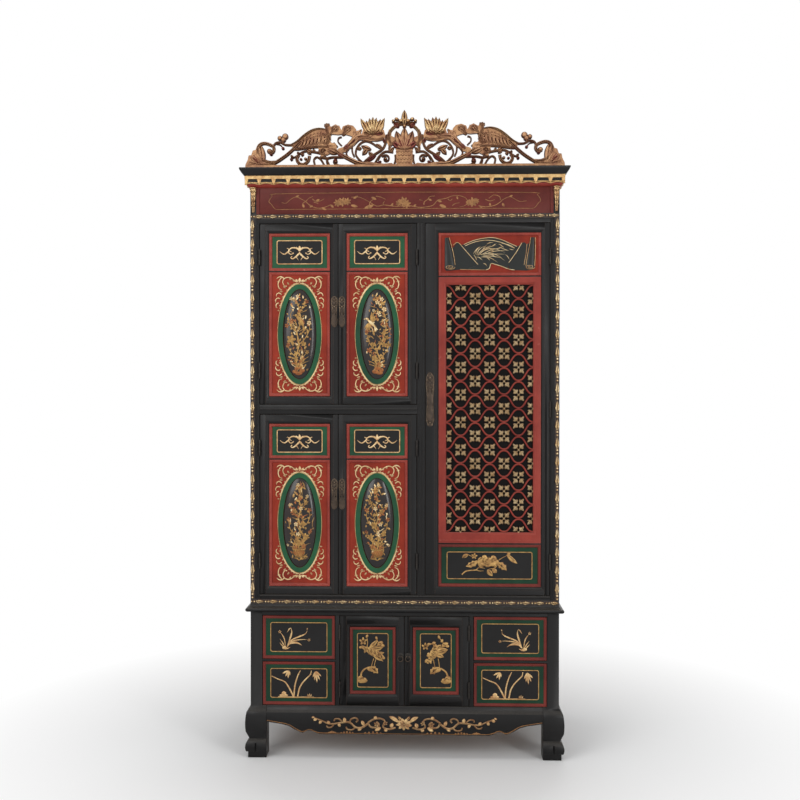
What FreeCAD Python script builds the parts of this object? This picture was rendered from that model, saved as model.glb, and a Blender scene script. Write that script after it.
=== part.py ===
"""Gilt and painted lacquer cabinet: a pierced crest and a cornice over an upper case with two pairs of medallion
doors and one tall lattice door, on a low base with four drawers, two small doors and carved legs.

Millimetres, +Z up, the front faces -Y, and the origin is on the floor under the middle of the whole outline.
"""

import FreeCAD, Part

import math
import os

import Sketcher

V = FreeCAD.Vector

# Driving dimensions, in millimetres unless a name says otherwise
DIMENSIONS = {
    # case
    "body_width": 1054,
    "body_depth": 500,
    "waist_height": 178,
    "base_height": 322,
    "ledge_height": 26,
    "ledge_overhang": 16,
    "bottom_rail_height": 32,
    "leaf_height": 619,
    "mid_rail_height": 32,
    "top_rail_height": 31,
    "frieze_height": 91,
    "cove_height": 38,
    "cove_overhang": 12,
    "slab_height": 26,
    "slab_overhang": 33,
    "slab_flare": 15,
    "board_thickness": 18,
    "back_thickness": 10,
    "rail_depth": 30,
    # legs and apron
    "leg_width": 55,
    "leg_bulge": 17,
    "leg_shoulder": 13,
    "shoulder_drop": 21,
    "knee_height": 118,
    "ankle_height": 64,
    "ankle_overhang": 4,
    "foot_height": 44,
    "foot_block_height": 22,
    "foot_block_overhang": 8,
    "toe_groove_width": 5,
    "apron_thickness": 22,
    "apron_height": 94,
    "apron_end_height": 53,
    "cusp_height": 87,
    "carving_relief": 4,
    "carving_height": 62,
    "carving_width": 590,
    # base
    "base_post_width": 40,
    "base_post_depth": 45,
    "base_top_rail": 13,
    "base_stile": 14,
    "base_doorway": 444,
    "drawer_rail": 7,
    "side_recess": 5,
    "base_side_thickness": 15,
    "guide_height": 30,
    # upper case
    "post_width": 31,
    "post_depth": 45,
    "mullion_left": 44,
    "mullion_width": 26,
    "frieze_setback": 2,
    "bead_width": 5,
    "bead_relief": 2,
    "bead_inset": 5,
    "rope_width": 15,
    "rope_relief": 8,
    "rope_bottom_height": 17,
    "rope_top_height": 16,
    "capital_width": 21,
    "capital_height": 84,
    "capital_relief": 14,
    "capital_foot_relief": 6,
    "lappet_height": 29,
    "lappet_thickness": 5,
    "lappet_pitch": 49,
    "lappet_depth": 8,
    "left_shelf_height": 300,
    "tall_shelf_height": 420,
    # crest
    "crest_height": 200,
    "crest_width": 1090,
    "crest_thickness": 24,
    "crest_setback": 33,
    # doors and drawers
    "door_thickness": 24,
    "door_gap": 2,
    "door_setback": 1,
    "leaf_hinge_stile": 31,
    "leaf_top_rail": 32,
    "leaf_bottom_rail": 27,
    "moulding_width": 12,
    "moulding_slope": 6,
    "muntin_height": 5,
    "upper_small_panel": 127,
    "lower_small_panel": 118,
    "red_frame_width": 10,
    "red_frame_depth": 3,
    "panel_depth": 9,
    "panel_thickness": 8,
    "leaf_meeting_stile": 28,
    "oval_side_margin": 29,
    "oval_height": 343,
    "oval_relief": 3,
    "oval_ring": 17,
    "dome_relief": 12,
    "field_margin": 15,
    "field_relief": 2,
    # tall door
    "tall_lock_stile": 45,
    "tall_hinge_stile": 29,
    "tall_top_rail": 32,
    "tall_bottom_rail": 28,
    "scroll_panel_height": 145,
    "tall_bottom_panel": 144,
    "sill_height": 10,
    "lattice_frame_width": 26,
    "lattice_thickness": 9,
    "lattice_bar": 7,
    "lattice_flower": 10,
    "lattice_touch": 1,
    "backing_thickness": 5,
    "scroll_relief": 5,
    # base doors
    "base_door_stile": 34,
    "base_meeting_stile": 29,
    "base_door_rail": 38,
    # drawers
    "drawer_front_thickness": 18,
    "drawer_box_depth": 410,
    "drawer_side": 10,
    "drawer_bottom": 5,
    "drawer_inset": 4,
    "drawer_headroom": 18,
    "drawer_gap": 2,
    "seat_gap": 0.3,
    # ironwork and bronze
    "hinge_height": 54,
    "hinge_offset": 114,
    "base_hinge_offset": 55,
    "knuckle_radius": 3.5,
    "hinge_proud": 4,
    "hinge_leaf": 0.8,
    "hinge_leaf_depth": 20,
    "hinge_end_play": 0.3,
    "pin_radius": 1.5,
    "pin_clearance": 0.05,
    "plate_thickness": 1.5,
    "leaf_plate_width": 22,
    "leaf_plate_height": 107,
    "upper_plate_rise": 8,
    "lower_plate_rise": 36,
    "tall_plate_width": 28,
    "tall_plate_height": 187,
    "tall_plate_rise": 34,
    "boss_radius": 5,
    "boss_relief": 3,
    "boss_inset": 24,
    "ear_width": 2,
    "ear_height": 7,
    "ear_reach": 7,
    "pull_axis_reach": 5,
    "pull_pin_radius": 1,
    "pull_barrel_radius": 2,
    "pull_barrel_width": 8,
    "leaf_pull_inset": 56,
    "leaf_pull_width": 19,
    "leaf_pull_height": 47,
    "tall_pull_inset": 54,
    "tall_pull_width": 21,
    "tall_pull_height": 117,
    "pull_thickness": 2,
    "ring_radius": 9,
    "ring_wire_radius": 1.5,
    "ring_clearance": 0.9,
    "ring_eye_width": 3,
    "ring_offset": 11,
    "ring_height": 350,
    "rosette_radius": 11,
    "overrun": 5,
}

# How steeply the lattice's waves rise
SLOPE = math.radians(48)

# Flats round a small rod, and round a carved oval
ROD_SIDES = 6
OVAL_SIDES = 20

# Places along the crest as shares of its half width and its height, from the middle outwards
CREST_OUTLINE_SHARES = [
    (0.00, 1.00), (0.023, 0.93), (0.054, 0.92), (0.080, 0.86), (0.056, 0.78), (0.072, 0.68), (0.110, 0.66),
    (0.117, 0.90), (0.155, 0.89), (0.199, 0.86), (0.245, 0.80), (0.253, 0.70), (0.292, 0.68), (0.338, 0.73),
    (0.370, 0.70), (0.408, 0.66), (0.452, 0.72), (0.487, 0.70), (0.498, 0.64), (0.552, 0.67), (0.598, 0.62),
    (0.659, 0.50), (0.705, 0.41), (0.748, 0.44), (0.735, 0.51), (0.756, 0.56), (0.787, 0.50), (0.813, 0.42),
    (0.851, 0.37), (0.904, 0.40), (0.930, 0.35), (0.951, 0.25), (0.977, 0.20), (0.989, 0.11), (1.00, 0.00),
]
# Openings pierced through each half: centre and size, as shares of the half width and the height
CREST_OPENING_SHARES = [
    (0.886, 0.21, 0.046, 0.21), (0.775, 0.25, 0.095, 0.15), (0.705, 0.12, 0.080, 0.09), (0.610, 0.19, 0.085, 0.17),
    (0.432, 0.50, 0.045, 0.15), (0.366, 0.50, 0.055, 0.13), (0.475, 0.26, 0.050, 0.12), (0.440, 0.11, 0.070, 0.07),
    (0.345, 0.26, 0.045, 0.14), (0.200, 0.42, 0.080, 0.10), (0.135, 0.52, 0.040, 0.08), (0.215, 0.22, 0.070, 0.11),
    (0.105, 0.20, 0.045, 0.15), (0.058, 0.18, 0.018, 0.16),
]


class Size:
    """A size worked out from the sheet: its expression, and what it comes to now."""

    def __init__(self, text, value):
        self.text = text
        self.value = value

    def __add__(self, other):
        return Size(f"({self.text} + {text_of(other)})", self.value + value_of(other))

    def __radd__(self, other):
        return Size(f"({text_of(other)} + {self.text})", value_of(other) + self.value)

    def __sub__(self, other):
        return Size(f"({self.text} - {text_of(other)})", self.value - value_of(other))

    def __rsub__(self, other):
        return Size(f"({text_of(other)} - {self.text})", value_of(other) - self.value)

    def __mul__(self, other):
        return Size(f"({self.text} * {text_of(other)})", self.value * value_of(other))

    def __rmul__(self, other):
        return Size(f"({text_of(other)} * {self.text})", value_of(other) * self.value)

    def __truediv__(self, other):
        return Size(f"({self.text} / {text_of(other)})", self.value / value_of(other))

    def __neg__(self):
        return Size(f"(0 - {self.text})", -self.value)


class Through:
    """A point that an arc of an outline passes through, between the corners before and after it."""

    def __init__(self, x, z):
        self.point = (x, z)


def text_of(size):
    return size.text if isinstance(size, Size) else repr(float(size))


def value_of(size):
    return size.value if isinstance(size, Size) else float(size)


def make_sheet(document):
    sheet = document.addObject("Spreadsheet::Sheet", "sizes")
    for row, (name, value) in enumerate(DIMENSIONS.items(), 1):
        sheet.set(f"A{row}", name)
        sheet.set(f"B{row}", str(value))
        sheet.setAlias(f"B{row}", name)
    document.recompute()
    return sheet


document = FreeCAD.newDocument("cabinet")
sheet = make_sheet(document)


class Dimensions:
    """The sheet's cells by name, as sizes."""


d = Dimensions()
for cell_name in DIMENSIONS:
    setattr(d, cell_name, Size("sizes." + cell_name, float(sheet.get(cell_name))))


# Building blocks


def bind(thing, prop, size):
    thing.setExpression(prop, text_of(size))


def place(thing, x=0, y=0, z=0):
    for axis, size in zip("xyz", (x, y, z)):
        bind(thing, "Placement.Base." + axis, size)
    return thing


def board(name, x, y, z):
    """A rectangular piece between three pairs of faces."""
    box = document.addObject("Part::Box", name)
    for prop, (low, high) in zip(("Length", "Width", "Height"), (x, y, z)):
        bind(box, prop, high - low)
    return place(box, x[0], y[0], z[0])


def splay(name, y, front_x, front_z, back_x, back_z):
    """A block whose front face and back face differ in size: the splayed mouth of a frame."""
    wedge = document.addObject("Part::Wedge", name)
    ends = {"Ymin": y[0], "Ymax": y[1]}
    ends.update({"Xmin": front_x[0], "Xmax": front_x[1], "Zmin": front_z[0], "Zmax": front_z[1]})
    ends.update({"X2min": back_x[0], "X2max": back_x[1], "Z2min": back_z[0], "Z2max": back_z[1]})
    for prop, size in ends.items():
        bind(wedge, prop, size)
    return wedge


def cylinder(name, radius, length, axis, x, y, z):
    """A round bar along X, Y or Z that starts at the given point."""
    bar = document.addObject("Part::Cylinder", name)
    bind(bar, "Radius", radius)
    bind(bar, "Height", length)
    turns = {"X": (V(0, 1, 0), 90), "Y": (V(1, 0, 0), -90), "Z": (V(0, 0, 1), 0)}
    bar.Placement.Rotation = FreeCAD.Rotation(*turns[axis])
    return place(bar, x, y, z)


def rod(name, radius, length, axis, x, y, z):
    """A small round bar with a few flats, because there are many of them."""
    bar = document.addObject("Part::Prism", name)
    bar.Polygon = ROD_SIDES
    bind(bar, "Circumradius", radius)
    bind(bar, "Height", length)
    turns = {"X": (V(0, 1, 0), 90), "Y": (V(1, 0, 0), -90), "Z": (V(0, 0, 1), 0)}
    bar.Placement.Rotation = FreeCAD.Rotation(*turns[axis])
    return place(bar, x, y, z)


def bore_for(radius):
    """The size of a rod that, cut out, leaves a round bar of the given radius room to turn."""
    return radius / math.cos(math.pi / ROD_SIDES)


def cut(name, base, *tools):
    for number, tool in enumerate(tools):
        made = document.addObject("Part::Cut", f"{name}_cut{number}")
        made.Base = base
        made.Tool = tool
        base = made
    return base


def common(name, first, second):
    made = document.addObject("Part::Common", name)
    made.Base = first
    made.Tool = second
    return made


def fuse(name, *pieces):
    made = document.addObject("Part::MultiFuse", name)
    made.Shapes = list(pieces)
    return made


def shaped(name, shape):
    """A piece whose form is made by its own function."""
    made = document.addObject("Part::Feature", name)
    made.Shape = shape
    return made


def arc_through(start, middle, end):
    """The arc from start over middle to end, which a sketch keeps anticlockwise, and whether start stays first."""
    turn = (middle - start).cross(end - middle).z
    circle = Part.Circle(start, middle, end)
    centre, radius = circle.Center, circle.Radius
    first, last = (start, end) if turn > 0 else (end, start)
    angles = [math.atan2(p.y - centre.y, p.x - centre.x) for p in (first, last)]
    if angles[1] <= angles[0]:
        angles[1] += 2 * math.pi
    return Part.ArcOfCircle(Part.Circle(centre, V(0, 0, 1), radius), *angles), turn > 0


def add_edges(sketch, path):
    """Draws a closed outline of lines, and of arcs where a Through stands between two corners."""
    corners = [p for p in path if not isinstance(p, Through)]
    after = {}
    for index, p in enumerate(path):
        if isinstance(p, Through):
            after[id(path[index - 1])] = p
    flat = [V(value_of(x), value_of(z), 0) for x, z in corners]
    ends = []
    for index, corner in enumerate(corners):
        start, end = flat[index], flat[(index + 1) % len(corners)]
        through = after.get(id(corner))
        if through is None:
            sketch.addGeometry(Part.LineSegment(start, end))
            ends.append((1, 2))
            continue
        arc, forward = arc_through(start, V(value_of(through.point[0]), value_of(through.point[1]), 0), end)
        sketch.addGeometry(arc)
        ends.append((1, 2) if forward else (2, 1))
    return corners, after, ends


def outline(body, role, path):
    """A sketch on one of the body's own planes, with every corner bound to the sheet."""
    sketch = body.newObject("Sketcher::SketchObject", body.Name + "_outline")
    plane = next(f for f in body.Origin.OriginFeatures if f.Role == role)
    sketch.AttachmentSupport = [(plane, "")]
    sketch.MapMode = "FlatFace"
    corners, after, ends = add_edges(sketch, path)
    constraints, formulas = [], {}

    def hold(edge, end, point):
        """Holds a point of the sketch at its place in the sheet's sizes."""
        for kind, size in zip(("DistanceX", "DistanceY"), point):
            formulas[len(constraints)] = text_of(size)
            constraints.append(Sketcher.Constraint(kind, -1, 1, edge, end, value_of(size)))

    for index, corner in enumerate(corners):
        hold(index, ends[index][0], corner)
        before = (index - 1) % len(corners)
        constraints.append(Sketcher.Constraint("Coincident", before, ends[before][1], index, ends[index][0]))
    for index, corner in enumerate(corners):
        if id(corner) in after:
            point = after[id(corner)].point
            mark = sketch.addGeometry(Part.Point(V(value_of(point[0]), value_of(point[1]), 0)), True)
            hold(mark, 1, point)
            constraints.append(Sketcher.Constraint("PointOnObject", mark, 1, index))
    sketch.addConstraint(constraints)
    for index, formula in formulas.items():
        sketch.setExpression(f"Constraints[{index}]", formula)
    return sketch


def prism(name, role, path, span):
    """An outline on XY_Plane, XZ_Plane or YZ_Plane, padded square to it between two places."""
    body = document.addObject("PartDesign::Body", name)
    pad = body.newObject("PartDesign::Pad", name + "_pad")
    origin = path[0]
    local = []
    for p in path:
        point = p.point if isinstance(p, Through) else p
        moved = (point[0] - origin[0], point[1] - origin[1])
        local.append(Through(*moved) if isinstance(p, Through) else moved)
    pad.Profile = outline(body, role, local)
    bind(pad, "Length", span[1] - span[0])
    body.Tip = pad
    start = span[1] if role == "XZ_Plane" else span[0]  # a pad on the XZ plane grows towards -Y
    across = {"XY_Plane": "xyz", "XZ_Plane": "xzy", "YZ_Plane": "yzx"}[role]
    return place(body, **dict(zip(across, (origin[0], origin[1], start))))


def side_pair(side, near, far):
    """A span on one side of the middle: near and far are distances from it, and side is -1 or 1."""
    return (near, far) if side > 0 else (-far, -near)


NODES = []


def node(label, *pieces):
    """Names a sub-part, which holds one piece or several that stay separate solids."""
    if len(pieces) == 1:
        made = pieces[0]
    else:
        made = document.addObject("Part::Compound", label + "_group")
        made.Links = list(pieces)
    made.Label = label
    NODES.append(made)
    return made


# Places that several pieces share

half = d.body_width / 2
front = (d.slab_overhang - d.body_depth) / 2
back = front + d.body_depth
inner_back = back - d.back_thickness
case_top = d.waist_height + d.base_height
ledge_top = case_top + d.ledge_height
lower_floor = ledge_top + d.bottom_rail_height
lower_ceiling = lower_floor + d.leaf_height
upper_floor = lower_ceiling + d.mid_rail_height
upper_ceiling = upper_floor + d.leaf_height
frieze_bottom = upper_ceiling + d.top_rail_height
frieze_top = frieze_bottom + d.frieze_height
cornice_bottom = frieze_top + d.cove_height
cornice_top = cornice_bottom + d.slab_height
bay = half - d.post_width
mullion_right = d.mullion_left + d.mullion_width
behind_rails = front + d.rail_depth
base_bay = half - d.base_post_width
doorway = d.base_doorway / 2
drawer_near = doorway + d.base_stile
drawer_height = (d.base_height - d.base_top_rail - d.drawer_rail) / 2
door_front = front + d.door_setback
sides = (-1, 1)
side_names = {-1: "left", 1: "right"}


# Base: legs, apron, frame and boards


def leg_profile(base, inner, flared):
    """The outer curve of a leg from its shoulder to its foot, drawn from the case's face outwards.

    base is the place of the case's face and flared its direction; inner is the leg's straight inner face.
    """
    def out(overhang):
        return base + overhang * flared

    knee = (d.knee_height + d.ankle_height) / 2
    return [
        (inner, 0 * d.foot_height),
        (out(d.foot_block_overhang), 0 * d.foot_height),
        (out(d.foot_block_overhang), d.foot_block_height),
        (out(d.leg_bulge * 0.8), d.foot_block_height),
        Through(out(d.leg_bulge), d.foot_height * 0.8),
        (out(d.ankle_overhang), d.ankle_height),
        (out(d.leg_bulge * 0.9), knee),
        Through(out(d.leg_bulge), d.knee_height),
        (out(d.leg_shoulder), d.waist_height - d.shoulder_drop),
        Through(out(d.leg_shoulder * 0.35), d.waist_height - d.shoulder_drop * 0.45),
        (out(0 * d.leg_bulge), d.waist_height),
        (inner, d.waist_height),
    ]


def straight_profile(near, far):
    """The plain side of a leg that doesn't flare."""
    floor = 0 * d.foot_height
    return [(near, floor), (far, floor), (far, d.waist_height), (near, d.waist_height)]


def leg(name, side, flared_front):
    """A leg sawn to its curve on two faces, in one piece with the corner post above it."""
    reach = d.leg_bulge + d.overrun
    x = side_pair(side, half - d.leg_width, half + reach)
    if flared_front:
        y = (front - reach, front + d.leg_width)
        side_view = leg_profile(front, front + d.leg_width, -1)
        post_y = (front, front + d.base_post_depth)
    else:
        y = (back - d.leg_width, back)
        side_view = straight_profile(back - d.leg_width, back)
        post_y = (back - d.base_post_depth, back)
    front_view = leg_profile(half * side, (half - d.leg_width) * side, side)
    sawn_front = prism(name + "_front_view", "XZ_Plane", front_view, y)
    sawn_side = prism(name + "_side_view", "YZ_Plane", side_view, x)
    foot = common(name + "_foot", sawn_front, sawn_side)
    post = board(name + "_post", side_pair(side, base_bay, half), post_y, (d.waist_height, case_top))
    if not flared_front:
        return fuse(name, foot, post)
    middle = (half - (d.leg_width - d.leg_bulge) / 2) * side
    groove_x = (middle - d.toe_groove_width / 2, middle + d.toe_groove_width / 2)
    groove_y = (front - reach, front - d.foot_block_overhang)
    groove = board(name + "_toe_groove", groove_x, groove_y, (d.foot_block_height, d.ankle_height * 0.8))
    return fuse(name, cut(name + "_toes", foot, groove), post)


def base_legs():
    legs = [leg(f"front_{side_names[s]}_leg", s, True) for s in sides]
    legs += [leg(f"rear_{side_names[s]}_leg", s, False) for s in sides]
    node("legs", *legs)


def apron_half(side, top):
    """Half of the front apron's scalloped lower edge, from the leg to the middle."""
    end = half - d.leg_width
    low = d.waist_height - d.apron_height
    high = d.waist_height - d.apron_end_height
    return [
        (end * side, top),
        (end * side, high),
        (end * 0.885 * side, high - d.apron_height * 0.09),
        (end * 0.833 * side, high - d.apron_height * 0.16),
        Through(end * 0.785 * side, high - d.apron_height * 0.30),
        (end * 0.733 * side, d.cusp_height),
        Through(end * 0.685 * side, d.cusp_height + d.apron_height * 0.09),
        (end * 0.640 * side, low + d.apron_height * 0.04),
        (end * 0.610 * side, low),
    ]


def apron_section(at, thickness):
    """Section of an apron that bulges like the legs: at gives the place at a distance out from the case's face."""
    shoulder = d.waist_height - d.shoulder_drop
    floor = d.waist_height - d.apron_height - d.overrun
    return [
        (at(-thickness), floor),
        (at(d.leg_shoulder), floor),
        (at(d.leg_shoulder), shoulder),
        Through(at(d.leg_shoulder * 0.25), d.waist_height - d.shoulder_drop * 0.45),
        (at(0 * d.leg_shoulder), d.waist_height),
        (at(-thickness), d.waist_height),
    ]


def base_aprons():
    end = half - d.leg_width
    right = apron_half(1, d.waist_height)
    left = apron_half(-1, d.waist_height)
    path = right + left[::-1]
    reach = (front - d.leg_bulge - d.overrun, front + d.apron_thickness)
    scalloped = prism("apron_front_view", "XZ_Plane", path, reach)
    section = apron_section(lambda out: front - out, d.apron_thickness)
    bulged = prism("apron_section_view", "YZ_Plane", section, (-end, end))
    node("apron_front", common("apron_front_solid", scalloped, bulged))

    aprons = []
    low = d.waist_height - d.apron_end_height
    span = (front + d.leg_width, back - d.leg_width)
    for side in sides:
        inner = half - d.apron_thickness
        y_path = [(span[0], low), (span[1], low), (span[1], d.waist_height), (span[0], d.waist_height)]
        reach = side_pair(side, inner, half + d.leg_bulge + d.overrun)
        plain = prism(f"apron_{side_names[side]}_view", "YZ_Plane", y_path, reach)
        section = apron_section(lambda out, s=side: (half + out) * s, d.apron_thickness)
        bulge = prism(f"apron_{side_names[side]}_section", "XZ_Plane", section, span)
        aprons.append(common(f"apron_{side_names[side]}", plain, bulge))
    rear_y = (back - d.apron_thickness, back)
    aprons.append(board("apron_rear", (-end, end), rear_y, (low, d.waist_height)))
    node("aprons_side_and_rear", *aprons)
    apron_carving()


def polygon_face(points):
    """A flat face in the XZ plane."""
    spots = [V(x, 0, z) for x, z in points]
    return Part.Face(Part.makePolygon(spots + spots[:1]))


def ribbon(points, width):
    """A carved stem: a band of a given width along a bent line, as a face in the XZ plane."""
    near, far = [], []
    for index, (x, z) in enumerate(points):
        before, after = points[max(index - 1, 0)], points[min(index + 1, len(points) - 1)]
        along = V(after[0] - before[0], after[1] - before[1], 0).normalize()
        near.append((x - along.y * width / 2, z + along.x * width / 2))
        far.append((x + along.y * width / 2, z - along.x * width / 2))
    return polygon_face(near + far[::-1])


def rosette_face(x, z, radius, lobes, dip):
    """A flower head or a leaf with points or lobes, as a face in the XZ plane."""
    points = []
    for number in range(2 * lobes):
        angle = math.pi * (number + 0.5) / lobes
        reach = radius * (dip if number % 2 else 1)
        points.append((x + reach * math.cos(angle), z + reach * math.sin(angle)))
    return polygon_face(points)


def apron_carving():
    """The gilt peony and vine on the apron, as a low relief on its face."""
    reach = value_of(d.carving_width) / 2
    tall = value_of(d.carving_height)
    middle = value_of(d.waist_height - (d.apron_height + d.shoulder_drop) / 2)
    faces = [rosette_face(0, middle, tall * 0.44, 8, 0.8)]
    for side in sides:
        wave_shares = [(0.05, 0), (0.18, 0.20), (0.30, 0.24), (0.42, 0.0), (0.55, -0.24), (0.70, -0.08), (0.84, 0.16)]
        wave_shares += [(1.0, -0.05)]
        stem = [(side * reach * u, middle + tall * v) for u, v in wave_shares]
        faces.append(ribbon(stem, tall * 0.13))
        leaf_shares = [(0.24, -0.12, 0.26), (0.42, 0.22, 0.24), (0.66, 0.16, 0.22), (0.86, -0.10, 0.20)]
        for u, v, size in leaf_shares:
            faces.append(rosette_face(side * reach * u, middle + tall * v, tall * size, 5, 0.6))
    flat = faces[0].multiFuse(faces[1:]).removeSplitter()
    relief = flat.extrude(V(0, -value_of(d.carving_relief), 0))
    relief.translate(V(0, value_of(front - d.leg_shoulder), 0))
    node("apron_carving", shaped("apron_carving_solid", relief))


def base_frame():
    frame_y = (front, behind_rails)
    top = (case_top - d.base_top_rail, case_top)
    pieces = [board("base_top_rail_board", (-base_bay, base_bay), frame_y, top)]
    rail_low = d.waist_height + drawer_height
    for side in sides:
        stile_z = (d.waist_height, case_top - d.base_top_rail)
        stile_x = side_pair(side, doorway, drawer_near)
        rail_x = side_pair(side, drawer_near, base_bay)
        pieces.append(board(f"base_stile_{side_names[side]}", stile_x, frame_y, stile_z))
        rail_z = (rail_low, rail_low + d.drawer_rail)
        pieces.append(board(f"drawer_rail_{side_names[side]}", rail_x, frame_y, rail_z))
    node("base_front_frame", *pieces)


def base_boards():
    low = d.waist_height - d.board_thickness
    inner = half - d.apron_thickness
    post_y = (front + d.leg_width, back - d.leg_width)
    middle_y = (front + d.apron_thickness, back - d.apron_thickness)
    middle_x = half - d.leg_width
    lengthwise = board("base_floor_middle", (-middle_x, middle_x), middle_y, (low, d.waist_height))
    crosswise = board("base_floor_ends", (-inner, inner), post_y, (low, d.waist_height))
    node("base_floor", fuse("base_floor_solid", lengthwise, crosswise))

    outer = half - d.side_recess
    side_y = (front + d.base_post_depth, back - d.base_post_depth)
    side_x = [side_pair(s, outer - d.base_side_thickness, outer) for s in sides]
    panels = [board(f"base_side_{side_names[s]}", x, side_y, (d.waist_height, case_top)) for s, x in zip(sides, side_x)]
    node("base_side_panels", *panels)
    back_y = (inner_back, back)
    node("base_back_panel", board("base_back", (-base_bay, base_bay), back_y, (d.waist_height, case_top)))

    partitions, guides = [], []
    rail_low = d.waist_height + drawer_height
    dust_z = (rail_low, rail_low + d.drawer_rail)
    behind = (behind_rails, inner_back)
    for side in sides:
        name = side_names[side]
        wall_x = side_pair(side, doorway, drawer_near)
        dust_x = side_pair(side, drawer_near, base_bay)
        partitions.append(board(f"base_partition_{name}", wall_x, behind, (d.waist_height, case_top)))
        partitions.append(board(f"dust_board_{name}", dust_x, behind, dust_z))
        guide_x = side_pair(side, base_bay, outer - d.base_side_thickness)
        for level, z in (("lower", d.waist_height), ("upper", dust_z[0])):
            guide_z = (z, z + d.guide_height)
            guides.append(board(f"guide_{name}_{level}", guide_x, side_y, guide_z))
    node("base_partitions_and_guides", *partitions, *guides)


def stepped_board(name, half_width, steps, low, high):
    """A board with a moulded edge on the front and both ends, and a plain back.

    steps are the edge's points as (overhang, height) from the bottom up; a Through among them makes a curve.
    """
    def path(at, other_side):
        """The moulded edge, closed by other_side, which lists the corners from the top down."""
        made = []
        for step in steps:
            overhang, height = step.point if isinstance(step, Through) else step
            spot = (at(overhang), height)
            made.append(Through(*spot) if isinstance(step, Through) else spot)
        return made + other_side

    def mirrored():
        right = path(lambda out: half_width + out, [])
        left = path(lambda out: -(half_width + out), [])
        return right + left[::-1]

    reach = d.slab_overhang + d.overrun
    front_view = prism(name + "_front_view", "XZ_Plane", mirrored(), (front - reach, back))
    side_path = path(lambda out: front - out, [(back, high), (back, low)])
    side_view = prism(name + "_side_view", "YZ_Plane", side_path, (-half_width - reach, half_width + reach))
    return common(name + "_solid", front_view, side_view)


def base_ledge():
    """The base's top board: a small round under a cove."""
    over = d.ledge_overhang
    tall = d.ledge_height
    steps = [
        (over * 0.5, case_top),
        Through(over * 0.85, case_top + tall * 0.10),
        (over, case_top + tall * 0.35),
        (over * 0.85, case_top + tall * 0.50),
        Through(over * 0.2, case_top + tall * 0.68),
        (0 * over, ledge_top),
    ]
    node("base_top", stepped_board("base_ledge", half, steps, case_top, ledge_top))


# Upper case


def bead(start, end, face, relief):
    """A rounded bead between two places along a face, as corners of an outline in the XY plane."""
    return [
        (start, face),
        (start * 0.75 + end * 0.25, face - relief),
        (start * 0.25 + end * 0.75, face - relief),
        (end, face),
    ]


def upper_post(name, side, at_front):
    """A corner post; the front ones carry a bead along their inner edge."""
    z = (ledge_top, frieze_top)
    x = side_pair(side, bay, half)
    if not at_front:
        return board(name, x, (back - d.post_depth, back), z)
    post = board(name + "_square", x, (front, front + d.post_depth), z)
    first = (bay + d.bead_inset) * side
    second = (bay + d.bead_inset + d.bead_width) * side
    between_ropes = (ledge_top + d.rope_bottom_height, frieze_bottom - d.rope_top_height)
    strip = prism(name + "_bead", "XY_Plane", bead(first, second, front, d.bead_relief), between_ropes)
    return fuse(name, post, strip)


def beaded_rail(name, x, z, bead_middle):
    """A rail along X with a bead along its face."""
    low, high = z
    first, second = bead_middle - d.bead_width / 2, bead_middle + d.bead_width / 2
    path = [
        (behind_rails, low),
        (front, low),
        (front, first),
        (front - d.bead_relief, first * 0.75 + second * 0.25),
        (front - d.bead_relief, first * 0.25 + second * 0.75),
        (front, second),
        (front, high),
        (behind_rails, high),
    ]
    return prism(name, "YZ_Plane", path, x)


def upper_frame():
    posts = [upper_post(f"front_post_{side_names[s]}", s, True) for s in sides]
    posts += [upper_post(f"rear_post_{side_names[s]}", s, False) for s in sides]
    node("upper_posts", *posts)

    bottom = beaded_rail("bottom_rail", (-bay, bay), (ledge_top, lower_floor), lower_floor - d.bead_inset)
    middle_z = (lower_ceiling, upper_floor)
    middle = beaded_rail("middle_rail", (-bay, d.mullion_left), middle_z, (lower_ceiling + upper_floor) / 2)
    top = board("top_rail", (-bay, bay), (front, behind_rails), (upper_ceiling, frieze_bottom))
    node("upper_front_rails", bottom, middle, top)

    left, right = d.mullion_left, mullion_right
    path = [(left, front)] + bead(left + d.bead_inset, left + d.bead_inset + d.bead_width, front, d.bead_relief)
    path += bead(right - d.bead_inset - d.bead_width, right - d.bead_inset, front, d.bead_relief)
    path += [(right, front), (right, behind_rails), (left, behind_rails)]
    node("mullion", prism("mullion_post", "XY_Plane", path, (lower_floor, upper_ceiling)))


def upper_boards():
    outer = half - d.side_recess
    side_y = (front + d.post_depth, back - d.post_depth)
    z = (ledge_top, frieze_top)
    node("upper_side_panels", *[board(f"upper_side_{side_names[s]}", side_pair(s, bay, outer), side_y, z) for s in sides])
    node("upper_back_panel", board("upper_back", (-bay, bay), (inner_back, back), z))
    behind = (behind_rails, inner_back)
    thick = d.board_thickness
    middle = (d.mullion_left + mullion_right) / 2
    wall = (middle - thick / 2, middle + thick / 2)
    node(
        "upper_case_boards",
        board("partition", wall, behind, (lower_floor, upper_ceiling)),
        board("upper_floor_board", (-bay, bay), behind, (lower_floor - thick, lower_floor)),
        board("upper_ceiling_board", (-bay, bay), behind, (upper_ceiling, upper_ceiling + thick)),
    )
    shelves = [board("middle_board", (-bay, wall[0]), behind, (upper_floor - thick, upper_floor))]
    for name, x, low in (
        ("lower_left_shelf", (-bay, wall[0]), lower_floor + d.left_shelf_height),
        ("upper_left_shelf", (-bay, wall[0]), upper_floor + d.left_shelf_height),
        ("tall_lower_shelf", (wall[1], bay), lower_floor + d.tall_shelf_height),
        ("tall_upper_shelf", (wall[1], bay), lower_floor + 2 * d.tall_shelf_height),
    ):
        shelves.append(board(name, x, behind, (low, low + thick)))
    node("shelves", *shelves)
    frieze_y = (front + d.frieze_setback, behind_rails)
    node("frieze_panel", board("frieze", (-bay, bay), frieze_y, (frieze_bottom, frieze_top)))


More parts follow.
